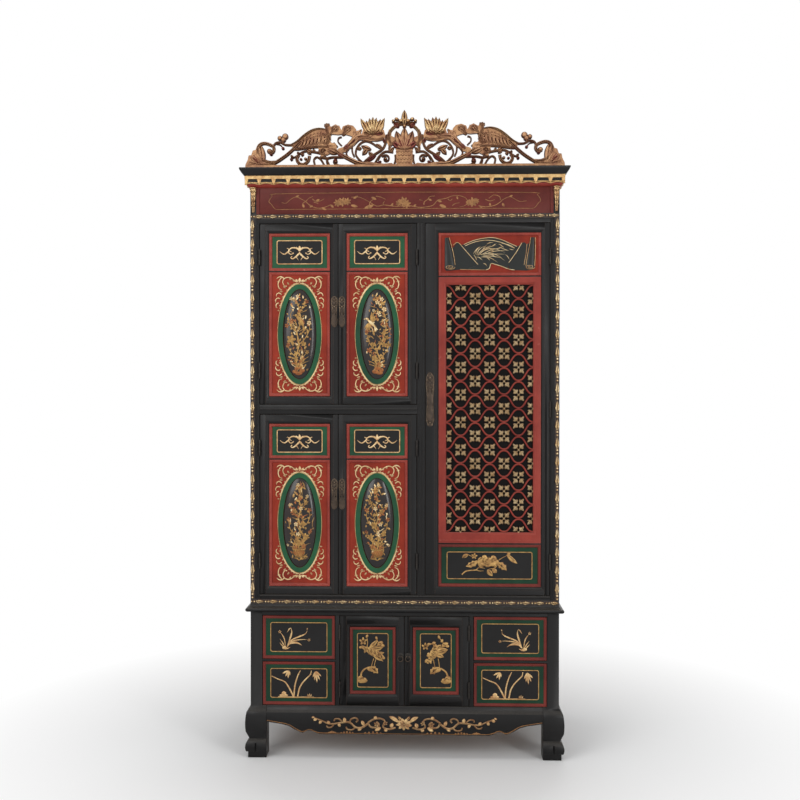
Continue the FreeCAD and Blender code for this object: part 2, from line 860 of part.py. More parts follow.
def rope_section(start, end):
    """The rounded section of a rope strip between two places along the case's front."""
    shares = [(0, 0), (0.04, 0.5), (0.25, 0.9), (0.5, 1), (0.75, 0.9), (0.96, 0.5), (1, 0)]
    return [(start * (1 - u) + end * u, front - d.rope_relief * v) for u, v in shares]


def gilt_mouldings():
    """The gilt strips along the case's edges and the capitals over the front posts, all glued to the face."""
    low = ledge_top + d.rope_bottom_height
    high = frieze_bottom - d.rope_top_height
    pieces = []
    for side in sides:
        name = side_names[side]
        path = rope_section((half - d.rope_width) * side, half * side)
        pieces.append(prism(f"rope_{name}", "XY_Plane", path, (low, high)))
        foot = frieze_top - d.capital_height
        x = side_pair(side, half - d.capital_width, half)
        section = [
            (front, foot),
            (front - d.capital_foot_relief, foot),
            (front - d.capital_foot_relief, foot + d.capital_height * 0.55),
            Through(front - d.capital_relief, foot + d.capital_height * 0.8),
            (front - d.capital_relief * 0.7, frieze_top),
            (front, frieze_top),
        ]
        pieces.append(prism(f"capital_{name}", "YZ_Plane", section, x))
    for name, z in (("bottom", (ledge_top, low)), ("top", (high, frieze_bottom))):
        path = [(deep, place_along) for place_along, deep in rope_section(*z)]
        pieces.append(prism(f"rope_{name}", "YZ_Plane", path, (-half, half)))
    node("gilt_mouldings", *pieces)


# Cornice and crest


def cornice():
    tall, over = d.cove_height, d.cove_overhang
    steps = [
        (0 * over, frieze_top),
        Through(over * 0.72, frieze_top + tall * 0.145),
        (over, frieze_top + tall * 0.4),
        (over, cornice_bottom),
    ]
    node("cornice_cove", stepped_board("cove", half, steps, frieze_top, cornice_bottom))
    edge = d.slab_overhang
    inner = edge - d.slab_flare
    steps = [
        (inner, cornice_bottom),
        Through(inner + d.slab_flare * 0.62, cornice_bottom + d.slab_height * 0.42),
        (edge, cornice_bottom + d.slab_height * 0.8),
        (edge, cornice_top),
    ]
    node("cornice_slab", stepped_board("slab", half, steps, cornice_bottom, cornice_top))
    lappets()


def lappet_strip(length):
    """A gilt strip with a scalloped lower edge, in the XZ plane, with its top at 0."""
    pitch, tall = value_of(d.lappet_pitch), value_of(d.lappet_height)
    drop = value_of(d.lappet_depth)
    count = max(1, round(length / pitch))
    pitch = length / count
    low = -tall + drop
    edge = []
    for number in range(count):
        x = -length / 2 + pitch * number
        edge += [(x, low), (x + pitch * 0.25, -tall), (x + pitch * 0.75, -tall)]
    return polygon_face(edge + [(length / 2, low), (length / 2, 0), (-length / 2, 0)])


def lappets():
    """The gilt band under the cornice slab, on the front and both ends, mitred at the corners."""
    thick = value_of(d.lappet_thickness)
    inner_half = value_of(half + d.cove_overhang)
    inner_front = value_of(front - d.cove_overhang)
    top = value_of(cornice_bottom)
    reach = value_of(back) - inner_front
    run = lappet_strip(2 * inner_half).extrude(V(0, -thick, 0))
    run.translate(V(0, inner_front, top))
    pieces = [run]
    for side in sides:
        end = lappet_strip(reach + thick).extrude(V(0, thick, 0))
        end.rotate(V(0, 0, 0), V(0, 0, 1), 90)
        x = inner_half + thick if side > 0 else -inner_half
        end.translate(V(x, inner_front - thick + (reach + thick) / 2, top))
        pieces.append(end)
    node("lappet_band", *[shaped(f"lappets_{number}", piece) for number, piece in enumerate(pieces)])


def crest_face():
    """The crest's outline with its openings, in the XZ plane, standing on 0."""
    reach, tall = value_of(d.crest_width) / 2, value_of(d.crest_height)
    right = [V(reach * u, 0, tall * v) for u, v in CREST_OUTLINE_SHARES]
    left = [V(-p.x, 0, p.z) for p in right[1:]]
    edges = []
    for half_points in (right, left[:1] and [right[0]] + left):
        for first, second in zip(half_points, half_points[1:]):
            edges.append(Part.LineSegment(first, second).toShape())
    edges.append(Part.LineSegment(right[-1], left[-1]).toShape())
    whole = Part.Face(Part.Wire(Part.__sortEdges__(edges)))
    holes = []
    for number, (u, v, wide, high) in enumerate(CREST_OPENING_SHARES):
        for side in sides:
            centre = V(side * reach * u, 0, tall * v)
            lean = side * (1 if number % 2 else -1)
            holes.append(opening(centre, reach * wide / 2, tall * high / 2, lean))
    return whole.cut(Part.Compound(holes))


def opening(centre, wide, high, lean):
    """A leaf-shaped opening that leans, as a face in the XZ plane."""
    shares = [(-1, 0.2 * lean), (-0.1, 0.95), (0.9, 0.35), (0.6, -0.8), (-0.55, -0.9)]
    points = [centre + V(wide * (u + 0.25 * lean * v), 0, high * v) for u, v in shares]
    return Part.Face(Part.makePolygon(points + points[:1]))


def crest():
    board_solid = crest_face().extrude(V(0, value_of(d.crest_thickness), 0))
    board_solid.translate(V(0, value_of(front - d.slab_overhang + d.crest_setback), value_of(cornice_top)))
    node("crest", shaped("crest_board", board_solid))


# Doors


def inset(span, amount):
    return (span[0] + amount, span[1] - amount)


def splayed_frame(name, x, z, width, y, slope, slope_depth):
    """A mitred frame: its inner edge slopes back over slope_depth, and is square behind that."""
    inner_x, inner_z = inset(x, width), inset(z, width)
    mouth_x, mouth_z = inset(x, width - slope), inset(z, width - slope)
    whole = board(name + "_outer", x, y, z)
    bevel = (y[0], y[0] + slope_depth)
    mouth = splay(name + "_mouth", bevel, mouth_x, mouth_z, inner_x, inner_z)
    return cut(name, whole, mouth, board(name + "_inner", inner_x, y, inner_z))


def framed_panel(name, x, z):
    """A red frame and the board in it: returns the frame, the board's spans and its face."""
    depth = d.door_thickness
    y = (door_front + d.red_frame_depth, door_front + depth)
    red = splayed_frame(name + "_red_frame", x, z, d.red_frame_width, y, d.red_frame_width * 0.3, d.panel_depth / 2)
    face = door_front + d.panel_depth
    return red, inset(x, d.red_frame_width), inset(z, d.red_frame_width), face


def field_panel(name, x, z):
    """A framed board with a raised field for its painting."""
    red, field_x, field_z, face = framed_panel(name, x, z)
    backing = board(name + "_board", field_x, (face, face + d.panel_thickness), field_z)
    raised_x, raised_z = inset(field_x, d.field_margin), inset(field_z, d.field_margin)
    raised = board(name + "_field", raised_x, (face - d.field_relief, face), raised_z)
    return red, fuse(name + "_carved", backing, raised)


def medallion_panel(name, x, z):
    """A framed board carved with an oval ring and a domed medallion."""
    red, field_x, field_z, face = framed_panel(name, x, z)
    backing = board(name + "_board", field_x, (face, face + d.panel_thickness), field_z)
    middle_x, middle_z = (x[0] + x[1]) / 2, (z[0] + z[1]) / 2

    wide = x[1] - x[0] - 2 * d.oval_side_margin
    ring = oval_solid((middle_x, face, middle_z), (wide, d.oval_height, d.oval_relief), [(1, 0), (0.985, 1)])
    ring_wide, ring_high = wide - 2 * d.oval_ring, d.oval_height - 2 * d.oval_ring
    dome_shares = [(1, 0), (0.9, 0.45), (0.68, 0.8), (0.34, 1)]
    dome = oval_solid((middle_x, face, middle_z), (ring_wide, ring_high, d.dome_relief), dome_shares)
    ring = shaped(name + "_oval", ring)
    return red, fuse(name + "_carved", backing, ring, shaped(name + "_dome", dome))


def oval_solid(middle, size, profile_shares):
    """A carved oval that rises from a board: its size is width, height and relief, in flat facets.

    profile_shares are pairs of how much of the width is left, and how much of the relief is reached.
    """
    x, face, z = (value_of(v) for v in middle)
    wide, high, relief = (value_of(v) for v in size)
    rings = []
    for share, rise in profile_shares:
        turns = [2 * math.pi * (number + 0.5) / OVAL_SIDES for number in range(OVAL_SIDES)]
        y = face - relief * rise
        spots = [V(x + wide / 2 * share * math.cos(a), y, z + high / 2 * share * math.sin(a)) for a in turns]
        rings.append(spots)
    faces = [Part.Face(Part.makePolygon(ring + ring[:1])) for ring in (rings[0], rings[-1])]
    for lower, upper in zip(rings, rings[1:]):
        for a, b, c, e in zip(lower, lower[1:] + lower[:1], upper[1:] + upper[:1], upper):
            faces.append(Part.Face(Part.makePolygon([a, b, c, e, a])))
    return Part.makeSolid(Part.makeShell(faces))


def door_frame(name, x, z, stiles, rails, panels):
    """Stiles and rails round the panels, with one moulding inside them: the pieces, and the panels' own spans.

    stiles are the left and right widths, rails the top and bottom heights, panels the heights of the panels
    from the top down, without the last, which takes what is left.
    """
    y = (door_front, door_front + d.door_thickness)
    edge = d.moulding_width
    inner_x = (x[0] + stiles[0], x[1] - stiles[1])
    inner_z = (z[0] + rails[1], z[1] - rails[0])
    outer_x, outer_z = inset(inner_x, -edge), inset(inner_z, -edge)
    pieces = [
        board(name + "_left_stile", (x[0], outer_x[0]), y, z),
        board(name + "_right_stile", (outer_x[1], x[1]), y, z),
        board(name + "_bottom_rail", outer_x, y, (z[0], outer_z[0])),
        board(name + "_top_rail", outer_x, y, (outer_z[1], z[1])),
        splayed_frame(name + "_moulding", outer_x, outer_z, edge, y, edge * 0.7, d.moulding_slope),
    ]
    spans, top = [], inner_z[1]
    for number, height in enumerate(panels):
        low = top - height
        spans.append((low, top))
        muntin = (low - d.muntin_height, low)
        muntin_y = (door_front + d.moulding_slope, door_front + d.door_thickness)
        pieces.append(board(f"{name}_muntin_{number}", inner_x, muntin_y, muntin))
        top = muntin[0]
    spans.append((inner_z[0], top))
    return pieces, inner_x, spans


def hinge(name, x, z, away, door_side):
    """A butt hinge at x, the middle of the gap: the fixed half with its pin, and the door's half.

    away points from the pin to the door along X, as -1 or 1.
    """
    third = (z[1] - z[0]) / 3
    y = front - d.hinge_proud
    play = d.hinge_end_play
    lines = (z[0], z[0] + third, z[1] - third, z[1])
    moving_z = (lines[1] + play, lines[2] - play)
    bore = d.pin_radius + d.pin_clearance
    neck_front = y + (d.knuckle_radius + bore) / 2
    leaf_end = front + d.hinge_leaf_depth

    def leaf(part, side, z_span, y_span):
        """A flat of the hinge against the wood on one side of the gap."""
        outer = d.door_gap / 2
        near = x + (outer - d.hinge_leaf) * side
        far = x + outer * side
        span = (near, far) if side > 0 else (far, near)
        return board(f"{name}_{part}", span, y_span, z_span)

    fixed = [
        rod(f"{name}_pin", d.pin_radius, third, "Z", x, y, lines[1]),
        rod(f"{name}_lower_knuckle", d.knuckle_radius, third, "Z", x, y, lines[0]),
        rod(f"{name}_upper_knuckle", d.knuckle_radius, third, "Z", x, y, lines[2]),
        leaf("fixed_leaf", -away, z, (front, leaf_end)),
        leaf("lower_neck", -away, (lines[0], lines[1]), (neck_front, front)),
        leaf("upper_neck", -away, (lines[2], lines[3]), (neck_front, front)),
    ]
    barrel = rod(f"{name}_barrel", d.knuckle_radius, moving_z[1] - moving_z[0], "Z", x, y, moving_z[0])
    hole = rod(f"{name}_bore", bore_for(bore), moving_z[1] - moving_z[0], "Z", x, y, moving_z[0])
    moving = [
        cut(f"{name}_bored", barrel, hole),
        leaf("moving_leaf", away, z, (front, leaf_end)),
        leaf("moving_neck", away, moving_z, (neck_front, front)),
    ]
    door_side.append(fuse(f"{name}_moving", *moving))
    return fuse(f"{name}_fixed", *fixed)


FIXED_HINGES = []


def hinges(name, x, z_span, away, offset, count):
    """The hinges of one door, spread between two places at offset from its ends: the door's halves."""
    tall = d.hinge_height
    moving = []
    low, high = z_span[0] + offset, z_span[1] - offset
    for number in range(count):
        middle = low + (high - low) * (number / (count - 1))
        z = (middle - tall / 2, middle + tall / 2)
        FIXED_HINGES.append(hinge(f"{name}_hinge_{number}", x, z, away, moving))
    return moving


def face_plate(name, x, z_low, wide, tall):
    """A shaped bronze plate on a stile: a cusped head, waisted sides and a rounded foot."""
    y = (door_front - d.plate_thickness, door_front)
    w, h = wide / 2, tall
    right = [(0.5, 0.02), (1.0, 0.12), (0.8, 0.40), (0.85, 0.62), (1.0, 0.72), (1.0, 0.90), (0.6, 0.965)]
    path = [(x, z_low)] + [(x + w * u, z_low + h * v) for u, v in right]
    path += [(x, z_low + h)] + [(x - w * u, z_low + h * v) for u, v in right[::-1]]
    return prism(name, "XZ_Plane", path, y)


def pull(name, x, axis_z, wide, tall):
    """A drop pull on a pin between two ears: the ears with the pin, and the pull, which swings out."""
    plate_front = door_front - d.plate_thickness
    axis_y = plate_front - d.pull_axis_reach
    barrel_half = d.pull_barrel_width / 2
    play = d.hinge_end_play
    ears = []
    for side in sides:
        near = x + (barrel_half + play) * side
        far = x + (barrel_half + play + d.ear_width) * side
        span = (near, far) if side > 0 else (far, near)
        ear_z = (axis_z - d.ear_height / 2, axis_z + d.ear_height / 2)
        ears.append(board(f"{name}_ear_{side_names[side]}", span, (plate_front - d.ear_reach, plate_front), ear_z))
    pin_half = barrel_half + play + d.ear_width / 2
    pin = rod(f"{name}_pin", d.pull_pin_radius, 2 * pin_half, "X", x - pin_half, axis_y, axis_z)
    barrel = rod(f"{name}_barrel", d.pull_barrel_radius, d.pull_barrel_width, "X", x - barrel_half, axis_y, axis_z)
    bore = d.pull_pin_radius + d.pin_clearance
    hole = rod(f"{name}_bore", bore_for(bore), d.pull_barrel_width, "X", x - barrel_half, axis_y, axis_z)
    blade_y = (axis_y - d.pull_thickness / 2, axis_y + d.pull_thickness / 2)
    top, w, h = axis_z - (d.pull_barrel_radius + bore) / 2, wide / 2, tall
    half_path = [(0.8, 0), (0.6, 0.10), (2.1, 0.24), (2.0, 0.34), (1.3, 0.50), (2.2, 0.72), (1.9, 0.86)]
    right = [(x + barrel_half * u * w / (2.2 * barrel_half), top - h * v) for u, v in half_path[1:]]
    right = [(x + barrel_half * 0.8, top)] + right
    left = [(x + x - u, v) for u, v in right]
    path = right + [(x, top - h)] + left[::-1]
    blade = prism(f"{name}_blade", "XZ_Plane", path, blade_y)
    hanging = fuse(f"{name}_hanging", cut(f"{name}_bored", barrel, hole), blade)
    return ears + [pin], hanging


def leaf_door(row, column, x, z, hinge_left, small_panel):
    """One of the four medallion doors."""
    name = f"{row}_{column}"
    stile, meeting = d.leaf_hinge_stile, d.leaf_meeting_stile
    stiles = (stile, meeting) if hinge_left else (meeting, stile)
    rails = (d.leaf_top_rail, d.leaf_bottom_rail)
    pieces, inner_x, (small, tall) = door_frame(name, x, z, stiles, rails, [small_panel])
    node(f"{name}_door_frame", *pieces)
    node(f"{name}_panels", *field_panel(f"{name}_small", inner_x, small), *medallion_panel(f"{name}_tall", inner_x, tall))
    away = 1 if hinge_left else -1
    hinge_x = x[0] - d.door_gap / 2 if hinge_left else x[1] + d.door_gap / 2
    parts = hinges(name, hinge_x, z, away, d.hinge_offset, 2)
    edge = (d.leaf_plate_width + d.door_gap) / 2
    plate_x = x[1] - edge if hinge_left else x[0] + edge
    rise = d.upper_plate_rise if row == "upper" else d.lower_plate_rise
    plate_z = (z[0] + z[1] - d.leaf_plate_height) / 2 + rise
    pull_size = (d.leaf_pull_inset, d.leaf_pull_width, d.leaf_pull_height)
    add_plate(name, parts, plate_x, plate_z, (d.leaf_plate_width, d.leaf_plate_height), pull_size)


def add_plate(name, parts, x, z, plate_size, pull_size):
    """The face plate with its boss, its ears and its hanging pull."""
    wide, tall = plate_size
    below_top, pull_wide, pull_tall = pull_size
    plate = face_plate(f"{name}_plate", x, z, wide, tall)
    plate_front = door_front - d.plate_thickness
    boss_z = z + tall - d.boss_inset
    boss = rod(f"{name}_boss", d.boss_radius, d.boss_relief, "Y", x, plate_front - d.boss_relief, boss_z)
    fixed, hanging = pull(f"{name}_pull", x, z + tall - below_top, pull_wide, pull_tall)
    parts.append(fuse(f"{name}_plate_solid", plate, boss, *fixed))
    node(f"{name}_fittings", *parts)
    node(f"{name}_pull", hanging)


def leaf_doors():
    gap = d.door_gap
    left, right = -bay + gap, d.mullion_left - gap
    middle = (left + right) / 2
    for row, low, small in (("lower", lower_floor, d.lower_small_panel), ("upper", upper_floor, d.upper_small_panel)):
        z = (low + gap, low + d.leaf_height - gap)
        leaf_door(row, "left", (left, middle - gap / 2), z, True, small)
        leaf_door(row, "right", (middle + gap / 2, right), z, False, small)


# Tall door


def lattice_face(x, z):
    """The wave lattice: rows of bars in turn up and down, touching at their crests, with a flower in each cell."""
    wide, tall = x[1] - x[0], z[1] - z[0]
    rows, periods = 18, 3
    pitch, period = tall / rows, wide / periods
    bar = value_of(d.lattice_bar)
    touch = value_of(d.lattice_touch)
    swing = (pitch - bar + touch) / 2
    reach = period / 4 * math.sin(SLOPE) + pitch / 2 * math.cos(SLOPE) - bar / 2 + touch
    faces = []
    for row in range(rows):
        middle = z[1] - pitch * (row + 0.5)
        phase = 1 if row % 2 == 0 else -1
        faces.append(wave_face(x[0], middle, period, periods, swing * phase, bar))
    for row in range(rows + 1):
        level = z[1] - pitch * row
        shift = 0.5 if row % 2 == 0 else 0.0
        for number in range(periods + 1):
            centre = x[0] + period * (number + shift)
            if centre < x[1] + bar:
                faces.append(flower_face(centre, level, reach, value_of(d.lattice_flower) / 2))
    whole = faces[0].multiFuse(faces[1:])
    window = polygon_face([(x[0], z[0]), (x[1], z[0]), (x[1], z[1]), (x[0], z[1])])
    return whole.common(window).removeSplitter()


def wave_face(start, middle, period, periods, swing, bar):
    """One wavy bar: round crests and troughs joined by straight slopes, with the same width all along."""
    quarter = period / 4
    bend = SLOPE
    straight = math.tan(bend) * math.sin(bend) - 1 + math.cos(bend)
    radius = (quarter * math.tan(bend) - abs(swing)) / straight
    upper, lower = [], []
    for number in range(2 * periods + 1):
        x = start + period / 2 * number
        up = math.copysign(1, swing) * (1 if number % 2 == 0 else -1)
        centre = middle + up * (abs(swing) - radius)
        for edge, offset in ((upper, bar / 2 * up), (lower, -bar / 2 * up)):
            reach = radius + offset
            turn, share = (bend / 2, math.cos(bend / 2)) if reach > radius else (bend, 1)
            for angle in (-turn, turn):
                edge.append((x + reach / share * math.sin(angle), centre + up * reach / share * math.cos(angle)))
    return polygon_face(upper + lower[::-1])


def flower_face(x, z, reach, wide):
    """A flower of four petals set crosswise between the bars, as a face in the XZ plane."""
    angles = (math.pi / 2 - SLOPE, math.pi / 2, math.pi / 2 + SLOPE, math.pi)
    points = []
    for number in range(8):
        angle = angles[number % 4] + math.pi * (number // 4)
        length = wide if number % 2 else reach
        points.append((x + length * math.cos(angle), z + length * math.sin(angle)))
    return polygon_face(points)


def tall_door():
    gap = d.door_gap
    x = (mullion_right + gap, bay - gap)
    z = (lower_floor + gap, upper_ceiling - gap)
    lattice_height = z[1] - z[0] - d.tall_top_rail - d.tall_bottom_rail
    lattice_height = lattice_height - d.scroll_panel_height - d.tall_bottom_panel - 2 * d.muntin_height
    stiles = (d.tall_lock_stile, d.tall_hinge_stile)
    rails = (d.tall_top_rail, d.tall_bottom_rail)
    heights = [d.scroll_panel_height, lattice_height]
    pieces, inner_x, (scroll_z, lattice_z, bottom_z) = door_frame("tall", x, z, stiles, rails, heights)
    node("tall_door_frame", *pieces)
    scroll_panel(inner_x, scroll_z)
    lattice_panel(inner_x, lattice_z)
    node("tall_bottom_panel_boards", *field_panel("tall_bottom", inner_x, bottom_z))
    parts = hinges("tall", x[1] + gap / 2, z, -1, d.hinge_offset, 3)
    plate_x = x[0] + d.tall_plate_width / 2 + d.door_gap
    plate_z = (z[0] + z[1] - d.tall_plate_height) / 2 + d.tall_plate_rise
    pull_size = (d.tall_pull_inset, d.tall_pull_width, d.tall_pull_height)
    add_plate("tall_door", parts, plate_x, plate_z, (d.tall_plate_width, d.tall_plate_height), pull_size)


def scroll_panel(x, z):
    """The red panel with a half-unrolled scroll in relief."""
    red, field_x, field_z, face = framed_panel("tall_scroll", x, z)
    backing = board("tall_scroll_board", field_x, (face, face + d.panel_thickness), field_z)
    left, right = field_x
    low, high = field_z
    wide, tall = right - left, high - low

    def at(u, v):
        return (left + wide * u, low + tall * v)

    def bend(u, v):
        return Through(*at(u, v))

    path = [
        at(0.04, 0.12), bend(0.08, 0.04), at(0.15, 0.10), at(0.42, 0.12), at(0.50, 0.22), bend(0.66, 0.06),
        at(0.84, 0.10), at(0.96, 0.08), at(0.97, 0.86), at(0.88, 0.80), at(0.84, 0.62), bend(0.60, 0.95),
        at(0.30, 0.80), at(0.22, 0.84), at(0.02, 0.94),
    ]
    relief = prism("tall_scroll_relief", "XZ_Plane", path, (face - d.scroll_relief, face))
    node("tall_scroll_panel", red, fuse("tall_scroll_carved", backing, relief))


def lattice_panel(x, z):
    """The red lattice frame, its lattice, the board behind it and the sill below."""
    y = (door_front + d.red_frame_depth, door_front + d.door_thickness)
    sill_z = (z[0], z[0] + d.sill_height)
    frame_z = (sill_z[1], z[1])
    width = d.lattice_frame_width
    frame = splayed_frame("lattice_frame", x, frame_z, width, y, width * 0.3, d.panel_depth / 2)
    sill = board("lattice_sill", x, y, sill_z)
    field_x, field_z = inset(x, width), inset(frame_z, width)
    face = door_front + d.panel_depth
    spans = [tuple(value_of(v) for v in span) for span in (field_x, field_z)]
    grille = lattice_face(*spans).extrude(V(0, value_of(d.lattice_thickness), 0))
    grille.translate(V(0, value_of(face), 0))
    node("tall_lattice_frame", frame, sill)
    node("tall_lattice", shaped("tall_lattice_grille", grille))
    behind = face + d.lattice_thickness
    node("tall_lattice_backing", board("tall_backing", field_x, (behind, behind + d.backing_thickness), field_z))


# Base doors and drawers


def ring_pull(name, x):
    """A rosette with an eye, and the ring that hangs in it."""
    wire = d.ring_wire_radius
    bore = wire + d.ring_clearance
    eye_radius = bore + wire
    axis_y = door_front - d.plate_thickness - eye_radius
    disc = rod(f"{name}_rosette", d.rosette_radius, d.plate_thickness, "Y", x, door_front - d.plate_thickness, d.ring_height)
    eye_x = x - d.ring_eye_width / 2
    eye = rod(f"{name}_eye", eye_radius, d.ring_eye_width, "X", eye_x, axis_y, d.ring_height)
    hole = rod(f"{name}_eye_bore", bore_for(bore), d.ring_eye_width, "X", eye_x, axis_y, d.ring_height)
    neck_y = (axis_y + (bore + eye_radius) / 2, door_front)
    neck = board(f"{name}_neck", (eye_x, eye_x + d.ring_eye_width), neck_y, (d.ring_height - wire, d.ring_height + wire))
    ring_y = axis_y - wire
    ring_z = d.ring_height - d.ring_radius
    outer = rod(f"{name}_ring_outer", d.ring_radius + wire, 2 * wire, "Y", x, ring_y, ring_z)
    inner = rod(f"{name}_ring_inner", d.ring_radius - wire, 2 * wire, "Y", x, ring_y, ring_z)
    disc.Polygon = outer.Polygon = inner.Polygon = 2 * ROD_SIDES
    ring = cut(f"{name}_ring_solid", outer, inner)
    return fuse(f"{name}_rosette_solid", disc, cut(f"{name}_eye_ring", eye, hole), neck), ring


def base_doors():
    gap = d.door_gap
    z = (d.waist_height + gap, case_top - d.base_top_rail - gap)
    for side in sides:
        name = "base_" + side_names[side]
        x = side_pair(side, gap / 2, doorway - gap)
        stile, meeting = d.base_door_stile, d.base_meeting_stile
        stiles = (stile, meeting) if side < 0 else (meeting, stile)
        pieces, inner_x, spans = door_frame(name, x, z, stiles, (d.base_door_rail, d.base_door_rail), [])
        node(f"{name}_door_frame", *pieces)
        node(f"{name}_door_panel", *field_panel(name, inner_x, spans[0]))
        hinge_x = (doorway - gap / 2) * side
        parts = hinges(name, hinge_x, z, -side, d.base_hinge_offset, 2)
        rosette, ring = ring_pull(name, d.ring_offset * side + gap * side)
        node(f"{name}_door_fittings", *parts, rosette)
        node(f"{name}_ring", ring)


def drawer(name, side, low):
    gap = d.drawer_gap
    x = side_pair(side, drawer_near + gap, base_bay - gap)
    z = (low + gap, low + drawer_height - gap)
    face = door_front
    thick = d.drawer_front_thickness
    y = (face, face + thick)
    red = splayed_frame(name + "_red_frame", x, z, d.red_frame_width, y, d.red_frame_width * 0.3, d.red_frame_depth)
    field_x, field_z = inset(x, d.red_frame_width), inset(z, d.red_frame_width)
    panel = board(name + "_front", field_x, (face + d.red_frame_depth, y[1]), field_z)
    raised_x, raised_z = inset(field_x, d.field_margin), inset(field_z, d.field_margin)
    raised = board(name + "_field", raised_x, (face + d.red_frame_depth - d.field_relief, face + d.red_frame_depth), raised_z)
    box_x = inset(x, d.drawer_inset)
    box_y = (y[1], y[1] + d.drawer_box_depth)
    box_z = (low + d.seat_gap, z[1] - d.drawer_headroom)
    side_wall, bottom = d.drawer_side, d.drawer_bottom
    inner_x = inset(box_x, side_wall)
    floor_z = (box_z[0] + bottom, box_z[0] + 2 * bottom)
    walls = [
        board(name + "_left_side", (box_x[0], inner_x[0]), box_y, box_z),
        board(name + "_right_side", (inner_x[1], box_x[1]), box_y, box_z),
        board(name + "_back", inner_x, (box_y[1] - side_wall, box_y[1]), box_z),
        board(name + "_bottom", inner_x, (box_y[0], box_y[1] - side_wall), floor_z),
    ]
    node(name, red, fuse(name + "_face", panel, raised), *walls)


def drawers():
    for side in sides:
        for level, low in (("lower", d.waist_height), ("upper", d.waist_height + drawer_height + d.drawer_rail)):
            drawer(f"drawer_{level}_{side_names[side]}", side, low)


def check_and_export():
    document.recompute()
    for thing in document.Objects:
        if "Invalid" in thing.State or "Error" in thing.State:
            raise RuntimeError(f"{thing.Label} could not be built: {thing.State}")
    os.makedirs("parts", exist_ok=True)
    for made in NODES:
        if made.Shape.isNull() or not made.Shape.isValid() or not made.Shape.Solids:
            raise RuntimeError(f"{made.Label} has no valid solid")
    for made in NODES:
        made.Shape.exportStep(f"parts/{made.Label}.step")
    print(len(NODES), "nodes", sum(len(made.Shape.Solids) for made in NODES), "solids")


base_legs()
base_aprons()
base_frame()
base_boards()
base_ledge()
upper_frame()
upper_boards()
gilt_mouldings()
cornice()
crest()
leaf_doors()
tall_door()
base_doors()
drawers()
node("hinge_fixed_halves", *FIXED_HINGES)
check_and_export()
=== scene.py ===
"""The gilt and lacquered cabinet: materials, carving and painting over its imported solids.

Lengths here are in mm."""
import math

import bpy
import numpy as np
from mathutils import Matrix, Vector


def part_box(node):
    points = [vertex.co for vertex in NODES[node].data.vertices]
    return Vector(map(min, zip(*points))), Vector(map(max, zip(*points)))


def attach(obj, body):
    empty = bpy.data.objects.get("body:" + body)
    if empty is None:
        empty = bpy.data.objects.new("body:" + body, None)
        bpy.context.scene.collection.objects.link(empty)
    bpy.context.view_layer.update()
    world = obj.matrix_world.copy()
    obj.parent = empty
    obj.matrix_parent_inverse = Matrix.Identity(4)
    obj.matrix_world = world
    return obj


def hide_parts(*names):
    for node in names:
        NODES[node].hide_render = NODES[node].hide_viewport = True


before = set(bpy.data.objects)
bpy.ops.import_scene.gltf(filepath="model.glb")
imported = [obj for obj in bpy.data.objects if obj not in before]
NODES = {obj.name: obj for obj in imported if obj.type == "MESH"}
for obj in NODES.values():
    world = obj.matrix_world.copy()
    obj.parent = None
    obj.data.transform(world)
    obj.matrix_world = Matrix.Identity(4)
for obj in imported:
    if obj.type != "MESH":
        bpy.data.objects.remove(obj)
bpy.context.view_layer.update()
MM = 0.001
TAU = 2 * math.pi


def span(node):
    """A node's box in mm: the x, y and z spans."""
    low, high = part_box(node)
    return [(low[i] / MM, high[i] / MM) for i in range(3)]


# Materials

BUMP_DEPTH = 0.0006  # in m, as the shader takes it


def new_material(name):
    material = bpy.data.materials.new(name)
    material.use_nodes = True
    tree = material.node_tree
    shader = tree.nodes["Principled BSDF"]
    return material, tree, shader


def link(tree, source, target):
    tree.links.new(source, target)


def noise(tree, coordinates, scale, detail=4.0, roughness=0.6, stretch=None):
    if stretch:
        mapping = tree.nodes.new("ShaderNodeMapping")
        mapping.inputs["Scale"].default_value = stretch
        link(tree, coordinates, mapping.inputs["Vector"])
        coordinates = mapping.outputs["Vector"]
    texture = tree.nodes.new("ShaderNodeTexNoise")
    texture.inputs["Scale"].default_value = scale
    texture.inputs["Detail"].default_value = detail
    texture.inputs["Roughness"].default_value = roughness
    link(tree, coordinates, texture.inputs["Vector"])
    return texture.outputs["Fac"]


def ramp(tree, value, low, high, start=0.0, end=1.0):
    node = tree.nodes.new("ShaderNodeMapRange")
    node.inputs["From Min"].default_value = low
    node.inputs["From Max"].default_value = high
    node.inputs["To Min"].default_value = start
    node.inputs["To Max"].default_value = end
    link(tree, value, node.inputs["Value"])
    return node.outputs["Result"]


def maths(tree, operation, a, b):
    node = tree.nodes.new("ShaderNodeMath")
    node.operation = operation
    for socket, value in ((node.inputs[0], a), (node.inputs[1], b)):
        if isinstance(value, (int, float)):
            socket.default_value = value
        else:
            link(tree, value, socket)
    return node.outputs[0]


def mix(tree, share, a, b):
    node = tree.nodes.new("ShaderNodeMix")
    node.data_type = "RGBA"
    if isinstance(share, (int, float)):
        node.inputs[0].default_value = share
    else:
        link(tree, share, node.inputs[0])
    for socket, value in ((node.inputs[6], a), (node.inputs[7], b)):
        if isinstance(value, tuple):
            socket.default_value = (*value, 1)
        else:
            link(tree, value, socket)
    return node.outputs[2]


def linear(colour):
    """The linear form that a shader takes of a colour as an image shows it, from 0 to 255."""
    shares = [value / 255 for value in colour]
    return tuple(value / 12.92 if value <= 0.04045 else ((value + 0.055) / 1.055) ** 2.4 for value in shares)


